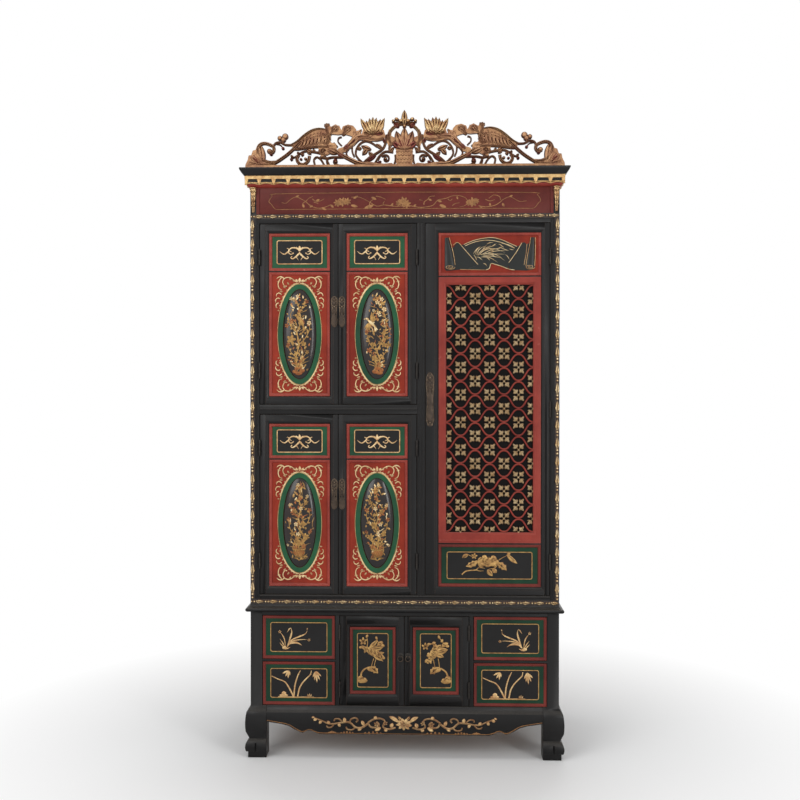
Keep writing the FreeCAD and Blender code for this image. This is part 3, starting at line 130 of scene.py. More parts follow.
def edge_wear(tree, radius):
    """How near a point is to an edge, from 0 to 1, from the rounded normal."""
    bevel = tree.nodes.new("ShaderNodeBevel")
    bevel.samples = 4
    bevel.inputs["Radius"].default_value = radius
    geometry = tree.nodes.new("ShaderNodeNewGeometry")
    dot = tree.nodes.new("ShaderNodeVectorMath")
    dot.operation = "DOT_PRODUCT"
    link(tree, bevel.outputs["Normal"], dot.inputs[0])
    link(tree, geometry.outputs["Normal"], dot.inputs[1])
    return ramp(tree, dot.outputs["Value"], 0.99, 0.80)


def roughen(tree, shader, height, strength):
    bumps = tree.nodes.new("ShaderNodeBump")
    bumps.inputs["Strength"].default_value = strength
    bumps.inputs["Distance"].default_value = BUMP_DEPTH
    link(tree, height, bumps.inputs["Height"])
    link(tree, bumps.outputs["Normal"], shader.inputs["Normal"])


def painted(name, colour, second, worn, rough=(0.35, 0.55), wear=0.5, metallic=0.0, grain=None, bump=0.15,
            blotch=7.0, edge=0.0016, dust=None, specular=0.5, patina_and_shade=None):
    """Paint, lacquer or gilding: two tones in blotches, brush marks, and edges rubbed to what is under it.

    Colours are from 0 to 255. dust settles on what faces up; patina_and_shade paints shade, partly patina, on
    a relief's flanks.
    """
    material, tree, shader = new_material(name)
    colour, second, worn = linear(colour), linear(second), linear(worn)
    place = tree.nodes.new("ShaderNodeTexCoord").outputs["Object"]
    blotches = noise(tree, place, blotch, 5.0, 0.62)
    fine = noise(tree, place, 160.0, 3.0, 0.7)
    brush = noise(tree, place, 60.0, 4.0, 0.65, grain or (1.0, 1.0, 0.12))
    tone = mix(tree, ramp(tree, blotches, 0.36, 0.66), colour, second)
    tone = mix(tree, ramp(tree, brush, 0.48, 0.80, 0.0, 0.35), tone, second)
    scuffs = ramp(tree, noise(tree, place, 34.0, 6.0, 0.72), 0.66, 0.74, 0.0, wear * 0.7)
    if edge:
        chips = ramp(tree, noise(tree, place, 90.0, 5.0, 0.7), 0.35, 0.62)
        rubbed = maths(tree, "MULTIPLY", maths(tree, "MULTIPLY", edge_wear(tree, edge), chips), wear)
        scuffs = maths(tree, "MAXIMUM", scuffs, rubbed)
    tone = mix(tree, scuffs, tone, worn)
    # Painted shade, partly patina: the flanks of a relief that turn away from the front are darkened.
    if patina_and_shade:
        side = tree.nodes.new("ShaderNodeSeparateXYZ")
        link(tree, tree.nodes.new("ShaderNodeTexCoord").outputs["Normal"], side.inputs[0])
        flank_shade = ramp(tree, maths(tree, "ABSOLUTE", side.outputs["Y"], 0.0), 0.93, 0.62, 0.0, 0.9)
        tone = mix(tree, flank_shade, tone, linear(patina_and_shade))
    if dust:
        facing = tree.nodes.new("ShaderNodeSeparateXYZ")
        link(tree, tree.nodes.new("ShaderNodeNewGeometry").outputs["Normal"], facing.inputs[0])
        settled = maths(tree, "MULTIPLY", ramp(tree, facing.outputs["Z"], 0.35, 0.95),
                        ramp(tree, fine, 0.3, 0.7, 0.4, 0.9))
        tone = mix(tree, maths(tree, "MULTIPLY", settled, 0.45), tone, linear(dust))
    link(tree, tone, shader.inputs["Base Color"])
    halves = [maths(tree, "MULTIPLY", pattern, 0.5) for pattern in (blotches, brush)]
    sheen = ramp(tree, maths(tree, "ADD", *halves), 0.35, 0.65, *rough)
    link(tree, sheen, shader.inputs["Roughness"])
    shader.inputs["Metallic"].default_value = metallic
    shader.inputs["Specular IOR Level"].default_value = specular
    height = maths(tree, "ADD", maths(tree, "MULTIPLY", fine, 0.4), maths(tree, "SUBTRACT", brush, scuffs))
    roughen(tree, shader, height, bump)
    return material


def wood(name, colour, second, along=(1.0, 1.0, 0.06)):
    """Bare boards with grain along them."""
    material, tree, shader = new_material(name)
    colour, second = linear(colour), linear(second)
    place = tree.nodes.new("ShaderNodeTexCoord").outputs["Object"]
    grain = noise(tree, place, 42.0, 6.0, 0.65, along)
    broad = noise(tree, place, 5.0, 4.0, 0.6, along)
    tone = mix(tree, ramp(tree, grain, 0.32, 0.68), colour, second)
    tone = mix(tree, ramp(tree, broad, 0.4, 0.7, 0.0, 0.5), tone, second)
    link(tree, tone, shader.inputs["Base Color"])
    link(tree, ramp(tree, grain, 0.3, 0.7, 0.75, 0.55), shader.inputs["Roughness"])
    roughen(tree, shader, grain, 0.25)
    return material


DUST = (104, 98, 90)
BLACK = painted("black_lacquer", (22, 21, 21), (14, 13, 13), (84, 60, 46), (0.34, 0.50), 0.6, dust=DUST,
                specular=0.25)
BLACK_DOME = painted("dome_lacquer", (20, 19, 20), (38, 27, 22), (84, 56, 44), (0.14, 0.26), 0.3,
                     blotch=14.0, edge=0, specular=0.4)
SHEET = painted("sheet_lacquer", (27, 31, 28), (17, 20, 18), (92, 72, 52), (0.28, 0.44), 0.7, specular=0.35)
# The black board behind the lattice, darker and duller than the lacquer: partly its black paint, partly
# painted shade behind the bars.
SHADED_BACKING = painted("shaded_backing_board", (13, 10, 9), (9, 7, 7), (24, 16, 12), wear=0.2, specular=0.1)
# Painted shade: the dark brown ground under the gilt ropes stands for the shade in the gaps between the
# beads.
ROPE_GAP_SHADE = painted("moulding_gap_shade", (50, 34, 24), (34, 24, 20), (110, 76, 46), (0.4, 0.6), 0.5,
                          edge=0)
RED_FRAME = painted("red_lacquer", (152, 60, 48), (124, 43, 35), (206, 136, 120), (0.40, 0.56), 0.9,
                    dust=(150, 106, 94), specular=0.25)
RED_LOW = painted("base_red_lacquer", (116, 42, 34), (90, 30, 26), (150, 84, 70), (0.40, 0.56), 0.8,
                  specular=0.25)
RED_FIELD = painted("red_ground", (150, 50, 30), (118, 35, 22), (84, 32, 24), (0.45, 0.6), 0.5, specular=0.2)
RED_DARK = painted("frieze_lacquer", (106, 44, 37), (84, 34, 30), (58, 24, 20), (0.42, 0.58), 0.5,
                   grain=(0.12, 1.0, 1.0), specular=0.2)
GREEN = painted("green_paint", (32, 86, 54), (20, 58, 38), (14, 28, 22), (0.42, 0.58), 0.5, specular=0.25)
GREEN_LOW = painted("base_green_paint", (22, 60, 40), (14, 42, 28), (12, 22, 18), (0.42, 0.58), 0.5,
                    specular=0.2)
GOLD = painted("gilt", (226, 194, 138), (172, 126, 80), (92, 46, 34), (0.32, 0.52), 0.7, metallic=0.4,
               blotch=55.0, bump=0.35, edge=0, patina_and_shade=(92, 50, 34))
GOLD_LOW = painted("base_gilt", (196, 156, 92), (142, 102, 58), (80, 46, 30), (0.34, 0.54), 0.7,
                   metallic=0.35, blotch=60.0, bump=0.3, edge=0, patina_and_shade=(64, 38, 24))
GOLD_FINE = painted("gold_paint", (188, 146, 78), (128, 92, 46), (70, 42, 30), (0.36, 0.55), 0.7,
                    metallic=0.35, blotch=80.0, bump=0.2, edge=0, patina_and_shade=(70, 42, 24))
GOLD_DULL = painted("dull_gold_paint", (164, 118, 70), (122, 82, 48), (90, 44, 34), (0.42, 0.6), 0.7,
                    metallic=0.25, blotch=60.0, bump=0.2, edge=0)
GOLD_BAND = painted("band_gilt", (226, 192, 132), (178, 132, 80), (92, 46, 34), (0.32, 0.52), 0.7,
                    metallic=0.4, blotch=55.0, bump=0.35, edge=0)
GOLD_CREST = painted("crest_gilt", (192, 146, 102), (140, 94, 64), (96, 44, 36), (0.36, 0.56), 0.9,
                     metallic=0.3, blotch=28.0, bump=0.4, edge=0, patina_and_shade=(78, 38, 30))
GOLD_PALE = painted("pale_gilt", (238, 218, 172), (200, 166, 112), (110, 64, 44), (0.32, 0.5), 0.5,
                    metallic=0.4, blotch=60.0, bump=0.2, edge=0, patina_and_shade=(104, 66, 42))
GOLD_LEAFY = painted("foliage_gilt", (232, 206, 158), (196, 156, 106), (120, 60, 44), (0.32, 0.5), 0.6,
                     metallic=0.35, blotch=60.0, bump=0.2, edge=0, patina_and_shade=(138, 88, 58))
COPPER = painted("copper_gilt", (172, 104, 50), (122, 68, 34), (70, 34, 24), (0.36, 0.55), 0.5,
                 metallic=0.35, blotch=60.0, bump=0.2, edge=0, patina_and_shade=(60, 30, 18))
CREST_RED = painted("crest_red", (150, 74, 62), (110, 52, 46), (170, 122, 78), (0.4, 0.58), 0.8,
                    blotch=24.0, bump=0.35, edge=0, specular=0.25, patina_and_shade=(70, 30, 26))
UMBER = painted("umber_line", (58, 36, 24), (40, 26, 20), (100, 70, 40), (0.5, 0.65), 0.3, edge=0,
                specular=0.2)
BRONZE = painted("bronze", (80, 66, 54), (52, 43, 36), (32, 26, 23), (0.36, 0.56), 0.6, metallic=0.6,
                 blotch=60.0, bump=0.4, edge=0)
BRONZE_CHASED = painted("chased_bronze", (150, 128, 104), (96, 78, 62), (50, 40, 34), (0.34, 0.5), 0.5,
                        metallic=0.6, blotch=70.0, bump=0.3, edge=0, patina_and_shade=(30, 24, 20))
IRON = painted("iron", (46, 42, 38), (32, 28, 26), (96, 60, 40), (0.42, 0.62), 0.6, metallic=0.5,
               blotch=40.0, bump=0.4, edge=0.0006)
WOOD = wood("raw_wood", (150, 112, 78), (112, 80, 54))
WOOD_ACROSS = wood("raw_wood_across", (150, 112, 78), (112, 80, 54), (0.06, 1.0, 1.0))


# Meshes


def strips(rows, size, wrap=False, reverse=False):
    """Quads between rows of size points, each a closed ring. wrap also joins the last row to the first."""
    quads = []
    for row in range(rows if wrap else rows - 1):
        near, far = row * size, (row + 1) % rows * size
        for k in range(size):
            after = (k + 1) % size
            if reverse:
                quads.append((near + k, far + k, far + after, near + after))
            else:
                quads.append((near + k, near + after, far + after, far + k))
    return quads


def caps(rows, size, flip=False):
    """The faces that close the first and last of rows of size points."""
    first, last = tuple(range(size)), tuple((rows - 1) * size + k for k in range(size))
    return [first, last[::-1]] if flip else [last, first[::-1]]


class Mesh:
    """Vertices and faces gathered for one piece, in mm."""

    def __init__(self):
        self.points = []
        self.faces = []

    def add(self, points, faces):
        first = len(self.points)
        self.points.extend(tuple(p) for p in points)
        self.faces.extend(tuple(first + i for i in face) for face in faces)

    def mirrored(self, x):
        """The same again, mirrored across the plane at x."""
        points, faces = list(self.points), list(self.faces)
        self.add([(2 * x - p[0], p[1], p[2]) for p in points], [face[::-1] for face in faces])
        return self

    def piece(self, name, material, body, slot, smooth=50, bevel=0.0, segments=2):
        data = bpy.data.meshes.new(name)
        data.from_pydata([(x * MM, y * MM, z * MM) for x, y, z in self.points], [], self.faces)
        data.validate()
        data.materials.append(material)
        obj = bpy.data.objects.new(name, data)
        bpy.context.scene.collection.objects.link(obj)
        if smooth:
            data.polygons.foreach_set("use_smooth", [True] * len(data.polygons))
            data.set_sharp_from_angle(angle=math.radians(smooth))
        if bevel:
            round_edges(obj, bevel, segments)
        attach(obj, body)
        return obj


def round_edges(obj, size, segments=2, weld=False):
    if weld:
        obj.modifiers.new("weld", "WELD").merge_threshold = 0.00002
    bevel = obj.modifiers.new("edges", "BEVEL")
    bevel.width = size * MM
    bevel.segments = segments
    bevel.limit_method = "ANGLE"
    bevel.angle_limit = math.radians(40)
    bevel.harden_normals = True


def dress(node, material, bevel=0.0):
    """Keep a CAD node, with a better material and perhaps softer edges."""
    obj = NODES[node]
    if not obj.material_slots:
        obj.data.materials.append(material)
    for slot in obj.material_slots:
        slot.material = material
    if bevel:
        obj.data.polygons.foreach_set("use_smooth", [True] * len(obj.data.polygons))
        round_edges(obj, bevel, weld=True)


def box_mesh(mesh, x, y, z):
    points = [(x[i], y[j], z[k]) for i in (0, 1) for j in (0, 1) for k in (0, 1)]
    mesh.add(points, [(0, 1, 3, 2), (4, 6, 7, 5), (0, 4, 5, 1), (2, 3, 7, 6), (0, 2, 6, 4), (1, 5, 7, 3)])


def sweep_frame(mesh, x, z, section):
    """A mitred frame round a rectangle. section is a closed loop of (inset, y), from the outer edge in."""
    rings = []
    for cx, cz, sx, sz in ((x[0], z[0], 1, 1), (x[1], z[0], -1, 1), (x[1], z[1], -1, -1),
                           (x[0], z[1], 1, -1)):
        rings.append([(cx + sx * inset, y, cz + sz * inset) for inset, y in section])
    mesh.add([p for ring in rings for p in ring], strips(4, len(section), wrap=True))


def rounded_rectangle(x, z, radius):
    points, steps = [], 5
    for cx, cz, start in ((x[1] - radius, z[1] - radius, 0), (x[0] + radius, z[1] - radius, 1),
                          (x[0] + radius, z[0] + radius, 2), (x[1] - radius, z[0] + radius, 3)):
        for step in range(steps + 1):
            angle = (start + step / steps) * math.pi / 2
            points.append((cx + radius * math.cos(angle), cz + radius * math.sin(angle)))
    return points


def smooth_line(points, steps):
    """A Catmull-Rom line through points, which are rows of numbers, with steps to each span."""
    points = np.array(points, float)
    if len(points) == 2:
        return points[0] + (points[1] - points[0]) * np.linspace(0, 1, steps + 1)[:, None]
    padded = np.vstack([2 * points[0] - points[1], points, 2 * points[-1] - points[-2]])
    rows = []
    for i in range(len(points) - 1):
        a, b, c, e = padded[i:i + 4]
        for t in np.arange(steps) / steps:
            rows.append(0.5 * (2 * b + (c - a) * t + (2 * a - 5 * b + 4 * c - e) * t * t
                               + (3 * b - a - 3 * c + e) * t ** 3))
    rows.append(points[-1])
    return np.array(rows)


ROUND = ((-1, 0), (-0.8, 0.6), (-0.35, 0.94), (0.35, 0.94), (0.8, 0.6), (1, 0))
VEINED = ((-1, 0), (-0.75, 0.7), (-0.3, 0.85), (0, 0.45), (0.3, 0.85), (0.75, 0.7), (1, 0))
PEAKED = ((-1, 0), (0, 1), (1, 0))
BRUSHED = ((-1, 0), (-0.5, 0.85), (0.5, 0.85), (1, 0))


class Relief(Mesh):
    """Raised strokes, leaves and petals on a surface that faces the front, each one closed."""

    def __init__(self, surface, rise=1.0, depth=0.4, section=ROUND, steps=4):
        super().__init__()
        self.surface = surface
        self.rise = rise
        self.depth = depth
        self.section = section
        self.steps = steps
        self.stagger = 0.0
        self.weight = 1.0
        self.made = 0

    def back(self):
        """How far the next form reaches behind the surface. Staggered, no two backs share a plane."""
        self.made += 1
        return self.depth - self.stagger * (self.made * 5 % 13)

    def stroke(self, points, widths, rise=None, steps=None, section=None, closed=False):
        """A stroke through points (x, z), with its half widths at each of them or one for all."""
        rise = self.rise if rise is None else rise
        section = section or self.section
        if isinstance(widths, (int, float)):
            widths = [widths] * len(points)
        table = [(x, z, w) for (x, z), w in zip(points, widths)]
        if closed:
            table = table + [table[0]]
            line = np.array(table) if steps == 0 else smooth_line(table, steps or self.steps)
            line = line[:-1]
        else:
            line = smooth_line(table, steps or self.steps)
        count = len(line)
        if closed:
            ahead = np.roll(line, -1, 0) - np.roll(line, 1, 0)
        else:
            ahead = np.gradient(line, axis=0)
        length = np.hypot(ahead[:, 0], ahead[:, 1]) + 1e-9
        nx, nz = -ahead[:, 1] / length, ahead[:, 0] / length
        half = np.maximum(line[:, 2] * self.weight, 0.05)
        top = half.max()
        points3, size, back = [], len(section) + 2, self.back()
        for i in range(count):
            lift = rise * min(1.0, (half[i] / top) ** 0.6)
            row = []
            for across, high in section:
                x, z = line[i, 0] + nx[i] * half[i] * across, line[i, 1] + nz[i] * half[i] * across
                row.append((x, self.surface(x, z) - lift * high, z))
            for across in (0.9, -0.9):
                x, z = line[i, 0] + nx[i] * half[i] * across, line[i, 1] + nz[i] * half[i] * across
                row.append((x, self.surface(x, z) + back, z))
            points3.extend(row)
        self.add(points3,
                 strips(count, size, closed, reverse=True) + ([] if closed else caps(count, size, flip=True)))

    def leaf(self, x, z, angle, length, width, bend=0.0, rise=None, lobes=0, section=None, base=0.25):
        """A leaf or petal from its foot at (x, z): angle and bend in degrees, width at its widest."""
        points, widths = [], []
        steps = 6 if not lobes else 4 * lobes
        heading = math.radians(angle - bend / 2)
        px, pz = x, z
        for step in range(steps + 1):
            t = step / steps
            shape = base * (1 - t) + (math.sin(math.pi * min(1.0, t * 0.97 + 0.03)) ** 0.8)
            if lobes:
                shape *= 1 + 0.22 * math.cos(TAU * lobes * t)
            points.append((px, pz))
            widths.append(max(width / 2 * shape, 0.08))
            px += math.cos(heading) * length / steps
            pz += math.sin(heading) * length / steps
            heading += math.radians(bend) / steps
        self.stroke(points, widths, rise, steps=1 if lobes else 2, section=section)

    def blob(self, x, z, wide, high=None, rise=None, angle=0.0, sides=10):
        """A low dome, such as a berry or a petal."""
        high = wide if high is None else high
        rise = self.rise if rise is None else rise
        turn = math.radians(angle)
        rows = ((1.0, None), (1.0, 0.0), (0.82, 0.55), (0.45, 0.9))
        points, back = [], self.back()
        for share, level in rows:
            for k in range(sides):
                a = TAU * k / sides
                u, v = wide * share * math.cos(a), high * share * math.sin(a)
                px = x + u * math.cos(turn) - v * math.sin(turn)
                pz = z + u * math.sin(turn) + v * math.cos(turn)
                y = self.surface(px, pz) + (back if level is None else -rise * level)
                points.append((px, y, pz))
        points.append((x, self.surface(x, z) - rise, z))
        last = (len(rows) - 1) * sides
        tip = [(last + k, last + (k + 1) % sides, len(points) - 1) for k in range(sides)]
        self.add(points, strips(len(rows), sides) + tip + [tuple(reversed(range(sides)))])

    def flower(self, x, z, radius, petals=5, turn=0.0, rise=None, layers=1):
        rise = self.rise if rise is None else rise
        for layer in range(layers):
            size = radius * (1 - 0.38 * layer)
            for k in range(petals):
                angle = turn + 360 / petals * (k + 0.5 * (layer % 2))
                a = math.radians(angle)
                self.blob(x + size * 0.58 * math.cos(a), z + size * 0.58 * math.sin(a), size * 0.42,
                          size * 1.5 / petals, rise * (0.75 + 0.35 * layer), angle, 8)
        self.blob(x, z, radius * 0.24, rise=rise * (1.2 + 0.3 * (layers - 1)), sides=8)

    def spiral(self, x, z, radius, start, turns, width, direction=1, tail=(), rise=None, eye=1.0):
        """A scroll that winds in from its rim to its eye at (x, z). tail is the points that lead to it."""
        points, widths = [], []
        count = max(8, int(10 * turns))
        for step in range(count + 1):
            t = step / count
            size = radius * (1 - 0.78 * t ** 0.85)
            a = math.radians(start) + direction * TAU * turns * t
            points.append((x + size * math.cos(a), z + size * math.sin(a)))
            widths.append(width * (1 - 0.55 * t))
        lead = list(tail)
        lead_widths = [width * (0.35 + 0.65 * (i + 1) / (len(lead) + 1)) for i in range(len(lead))]
        self.stroke(lead + points, lead_widths + widths, rise, steps=2)
        if eye:
            self.blob(x, z, width * 1.15 * eye, rise=(self.rise if rise is None else rise) * 1.15, sides=8)

    def carved(self, name, material, body, slot="gilt"):
        return self.piece(name, material, body, slot, smooth=60)


def flat(y):
    return lambda x, z: y


def domed(cx, cz, half_wide, half_high, face, relief, power=6.0):
    def height(x, z):
        r = math.hypot((x - cx) / half_wide, (z - cz) / half_high)
        return face - relief * max(0.0, 1 - min(r, 1.0) ** power)
    return height


PROFILES = {"stem": (1.0, 0.85, 0.55), "blade": (0.45, 1.0, 0.12), "petal": (0.3, 1.0, 0.25),
            "even": (1.0, 1.0, 1.0), "wedge": (0.35, 0.7, 1.0)}


class Canvas:
    """A picture's grid (left, top, right, bottom) on a panel's spans, mirrored if flip is set."""

    def __init__(self, relief, grid, x, z, flip=False):
        self.relief, self.grid, self.x, self.z, self.flip = relief, grid, x, z, flip
        self.scale = (x[1] - x[0]) / (grid[2] - grid[0])

    def at(self, u, v):
        across = (u - self.grid[0]) / (self.grid[2] - self.grid[0])
        down = (v - self.grid[1]) / (self.grid[3] - self.grid[1])
        across = 1 - across if self.flip else across
        return self.x[0] + (self.x[1] - self.x[0]) * across, self.z[1] - (self.z[1] - self.z[0]) * down

    def line(self, kind, width, points, rise=None, section=None, steps=None):
        """A line of the named profile, as wide as width on the grid."""
        profile = PROFILES[kind]
        spots = [self.at(*point) for point in points]
        count = len(points) - 1
        widths = [float(np.interp(i / count, (0, 0.5, 1), profile)) * width * self.scale / 2
                  for i in range(count + 1)]
        self.relief.stroke(spots, widths, rise, section=section, steps=steps)

    def leaf(self, width, foot, tip, bend=0.0, rise=None, section=VEINED, lobes=0):
        (x0, z0), (x1, z1) = self.at(*foot), self.at(*tip)
        angle = math.degrees(math.atan2(z1 - z0, x1 - x0))
        bend = -bend if self.flip else bend
        length = math.hypot(x1 - x0, z1 - z0)
        self.relief.leaf(x0, z0, angle, length, width * self.scale, bend, rise, lobes, section)

    def flower(self, radius, place, petals=5, turn=0.0, rise=None, layers=1):
        self.relief.flower(*self.at(*place), radius * self.scale, petals, turn, rise, layers)

    def blob(self, wide, high, place, angle=0.0, rise=None):
        angle = -angle if self.flip else angle
        self.relief.blob(*self.at(*place), wide * self.scale, high * self.scale, rise, angle)

    def mass(self, points, rise, behind=0.0):
        """A flat-faced form in the outline of points, under finer carving."""
        spots = [self.at(*point) for point in points]
        if sum(a[0] * b[1] - b[0] * a[1] for a, b in zip(spots, spots[1:] + spots[:1])) < 0:
            spots.reverse()
        count = len(spots)
        levels = [[(px, self.relief.surface(px, pz) + lift, pz) for px, pz in spots]
                  for lift in (self.relief.depth + behind, -rise)]
        faces = [(k, (k + 1) % count, count + (k + 1) % count, count + k) for k in range(count)]
        faces += [tuple(count + k for k in range(count)), tuple(reversed(range(count)))]
        self.relief.add(levels[0] + levels[1], faces)

    def spiral(self, radius, place, start, turns, width, direction=1, tail=(), rise=None):
        if self.flip:
            start, direction = 180 - start, -direction
        spots = [self.at(*point) for point in tail]
        self.relief.spiral(*self.at(*place), radius * self.scale, start, turns, width * self.scale / 2,
                           direction, spots, rise)


# Camera, light and floor


def aim(obj, forward, roll=0.0):
    turn = Vector(forward).to_track_quat("-Z", "Y").to_matrix().to_4x4()
    obj.matrix_world = Matrix.Translation(obj.location) @ turn @ Matrix.Rotation(roll, 4, "Z")


def camera():
    data = bpy.data.cameras.new("camera")
    data.lens = 47.52
    data.sensor_width = 36
    data.clip_end = 60
    obj = bpy.data.objects.new("camera", data)
    bpy.context.scene.collection.objects.link(obj)
    obj.location = (0.0942, -3.8335, 1.2539)
    aim(obj, (-0.03018, 0.99951, -0.00802), 0.00025)
    bpy.context.scene.camera = obj


def lamp(name, place, target, wide, high, power):
    data = bpy.data.lights.new(name, "AREA")
    data.shape = "RECTANGLE"
    data.size, data.size_y = wide, high
    data.energy = power
    obj = bpy.data.objects.new(name, data)
    bpy.context.scene.collection.objects.link(obj)
    obj.location = place
    aim(obj, Vector(target) - Vector(place))


def lighting():
    bpy.context.scene.view_settings.view_transform = "Standard"
    lamp("soft_left", (-2.6, -3.4, 2.6), (0, 0, 1.1), 2.4, 2.4, 62)
    lamp("strip_right", (2.5, -3.3, 1.9), (0, 0, 1.1), 0.8, 2.4, 46)
    lamp("soft_behind", (0.5, 3.4, 3.0), (0, 0, 1.2), 2.4, 2.0, 40)
    lamp("soft_above", (0, -0.6, 4.4), (0, 0, 1.0), 2.6, 2.0, 40)
    world = bpy.data.worlds.new("world")
    bpy.context.scene.world = world
    world.use_nodes = True
    tree = world.node_tree
    background = tree.nodes["Background"]
    path = tree.nodes.new("ShaderNodeLightPath")
    seen = maths(tree, "MAXIMUM", path.outputs["Is Camera Ray"], path.outputs["Is Glossy Ray"])
    seen = maths(tree, "MAXIMUM", seen, path.outputs["Is Transmission Ray"])
    background.inputs["Color"].default_value = (1, 1, 1, 1)
    link(tree, ramp(tree, seen, 0, 1, 0.42, 1.0), background.inputs["Strength"])


def floor():
    mesh = bpy.data.meshes.new("floor")
    mesh.from_pydata([(-9, -9, 0), (9, -9, 0), (9, 9, 0), (-9, 9, 0)], [], [(0, 1, 2, 3)])
    obj = bpy.data.objects.new("floor", mesh)
    bpy.context.scene.collection.objects.link(obj)
    material, tree, shader = new_material("floor")
    mesh.materials.append(material)
    shader.inputs["Base Color"].default_value = (0.86, 0.86, 0.86, 1)
    shader.inputs["Roughness"].default_value = 0.7
    shader.inputs["Specular IOR Level"].default_value = 0.1
    place = tree.nodes.new("ShaderNodeTexCoord").outputs["Object"]
    length = tree.nodes.new("ShaderNodeVectorMath")
    length.operation = "LENGTH"
    link(tree, place, length.inputs[0])
    far = ramp(tree, length.outputs["Value"], 0.65, 1.7)
    path = tree.nodes.new("ShaderNodeLightPath")
    seen = maths(tree, "MAXIMUM", path.outputs["Is Camera Ray"], path.outputs["Is Glossy Ray"])
    glow = tree.nodes.new("ShaderNodeEmission")
    blend = tree.nodes.new("ShaderNodeMixShader")
    link(tree, maths(tree, "MULTIPLY", far, seen), blend.inputs[0])
    link(tree, shader.outputs[0], blend.inputs[1])
    link(tree, glow.outputs[0], blend.inputs[2])
    link(tree, blend.outputs[0], tree.nodes["Material Output"].inputs["Surface"])


camera()
lighting()
floor()


# The case and the door frames keep their CAD solids

MEETING = -226  # where the two leaf doors of a row meet, along x
PLATE_OUT = 13  # from there to the middle of either plate


def tint(node, material, test):
    """Give the faces of a CAD node whose middle (x, y, z) in mm passes the test another material."""
    data = NODES[node].data
    data.materials.append(material)
    last = len(data.materials) - 1
    place = NODES[node].matrix_world
    for polygon in data.polygons:
        if test(*(place @ polygon.center / MM)):
            polygon.material_index = last


def dress_case():
    black = {"legs": 1.2, "apron_front": 1.2, "aprons_side_and_rear": 1.0, "base_front_frame": 0.8,
             "base_top": 0.8, "upper_posts": 0.7, "upper_front_rails": 0.7, "mullion": 0.7,
             "cornice_slab": 1.0, "upper_side_panels": 0.8, "base_side_panels": 0.8,}
    for node, size in black.items():
        dress(node, BLACK, size)
    for row in ("upper", "lower"):
        for column in ("left", "right"):
            dress(f"{row}_{column}_door_frame", BLACK, 0.7)
    for node in ("tall_door_frame", "base_left_door_frame", "base_right_door_frame"):
        dress(node, BLACK, 0.7)
    for node in ("base_back_panel", "upper_back_panel", "upper_case_boards", "shelves", "base_floor",
                 "base_partitions_and_guides"):
        dress(node, WOOD_ACROSS if node != "upper_back_panel" else WOOD, 0.6)
    dress("frieze_panel", RED_DARK, 0.6)
    dress("cornice_cove", RED_FRAME, 0.6)
    dress("tall_lattice_frame", RED_FRAME, 0.8)
    tint("tall_lattice_frame", BLACK, lambda x, y, z: y > -209)
    # The board behind the lattice: black paint, darkened further as painted shade.
    dress("tall_lattice_backing", SHADED_BACKING)
    dress("hinge_fixed_halves", IRON, 0.4)
    for name in ("upper_left", "upper_right", "lower_left", "lower_right"):
        dress(f"{name}_fittings", IRON, 0.3)
        tint(f"{name}_fittings", BRONZE, lambda x, y,
             z: abs(abs(x - MEETING) - PLATE_OUT) < 11.5 and y < -232)
        dress(f"{name}_pull", BRONZE, 0.3)
    dress("tall_door_fittings", IRON, 0.3)
    tint("tall_door_fittings", BRONZE, lambda x, y, z: x < 110 and y < -232)
    dress("tall_door_pull", BRONZE, 0.3)
    for side in ("left", "right"):
        dress(f"base_{side}_door_fittings", IRON, 0.3)
        dress(f"base_{side}_ring", BRONZE, 0.4)
    dress("gilt_mouldings", GOLD, 0.5)
    dress("lappet_band", GOLD_BAND, 0.4)
    dress("apron_carving", GOLD, 0.6)


dress_case()


# Panels of the doors

RED_Y = -229.5  # the front of the red mouldings
FACE = -223.5  # the front of the painted boards
BOARD_BACK = -215.5
DOOR_BACK = -208.5
LINING = 1.1  # the thickness of the board behind a panel
DOME = (57.2, 153.7)  # the half width and half height of a door's oval


def inset(ends, amount):
    return (ends[0] + amount, ends[1] - amount)


def lining(name, x, z, body):
    """The plain black board behind a panel, flush with the back of its door."""
    mesh = Mesh()
    box_mesh(mesh, inset(x, 0.1), (DOOR_BACK - LINING, DOOR_BACK), inset(z, 0.1))
    mesh.piece(name + "_lining", BLACK, body, "black_lacquer", smooth=0)


def red_frame(name, x, z, body, top=RED_Y, face=FACE, back=DOOR_BACK, paint=RED_FRAME):
    """The red moulding round a panel: a flat, a small ogee and the drop to the board."""
    mesh = Mesh()
    if back == DOOR_BACK:
        lining(name, x, z, body)
        back -= LINING
    drop = face - top
    section = [(0, top + 0.5), (0.5, top), (4.6, top), (5.2, top + 0.13 * drop), (6.4, top + 0.17 * drop),
               (8.6, top + 0.4 * drop), (9.6, top + 0.7 * drop), (10, face + 1.0), (10, back), (0, back)]
    sweep_frame(mesh, x, z, section)
    return mesh.piece(name + "_red_moulding", paint, body, "red_lacquer", smooth=35)


def panel_board(name, x, z, body, material, slot, face=FACE, back=BOARD_BACK):
    """The painted board inside a red moulding, let a little way under it."""
    mesh = Mesh()
    box_mesh(mesh, inset(x, 9.4), (face, back), inset(z, 9.4))
    mesh.piece(name, material, body, slot, smooth=0, bevel=0.3)


CORNER = 6  # the radius of a black field's corners
SOFT = 0.8  # how wide its soft edge is


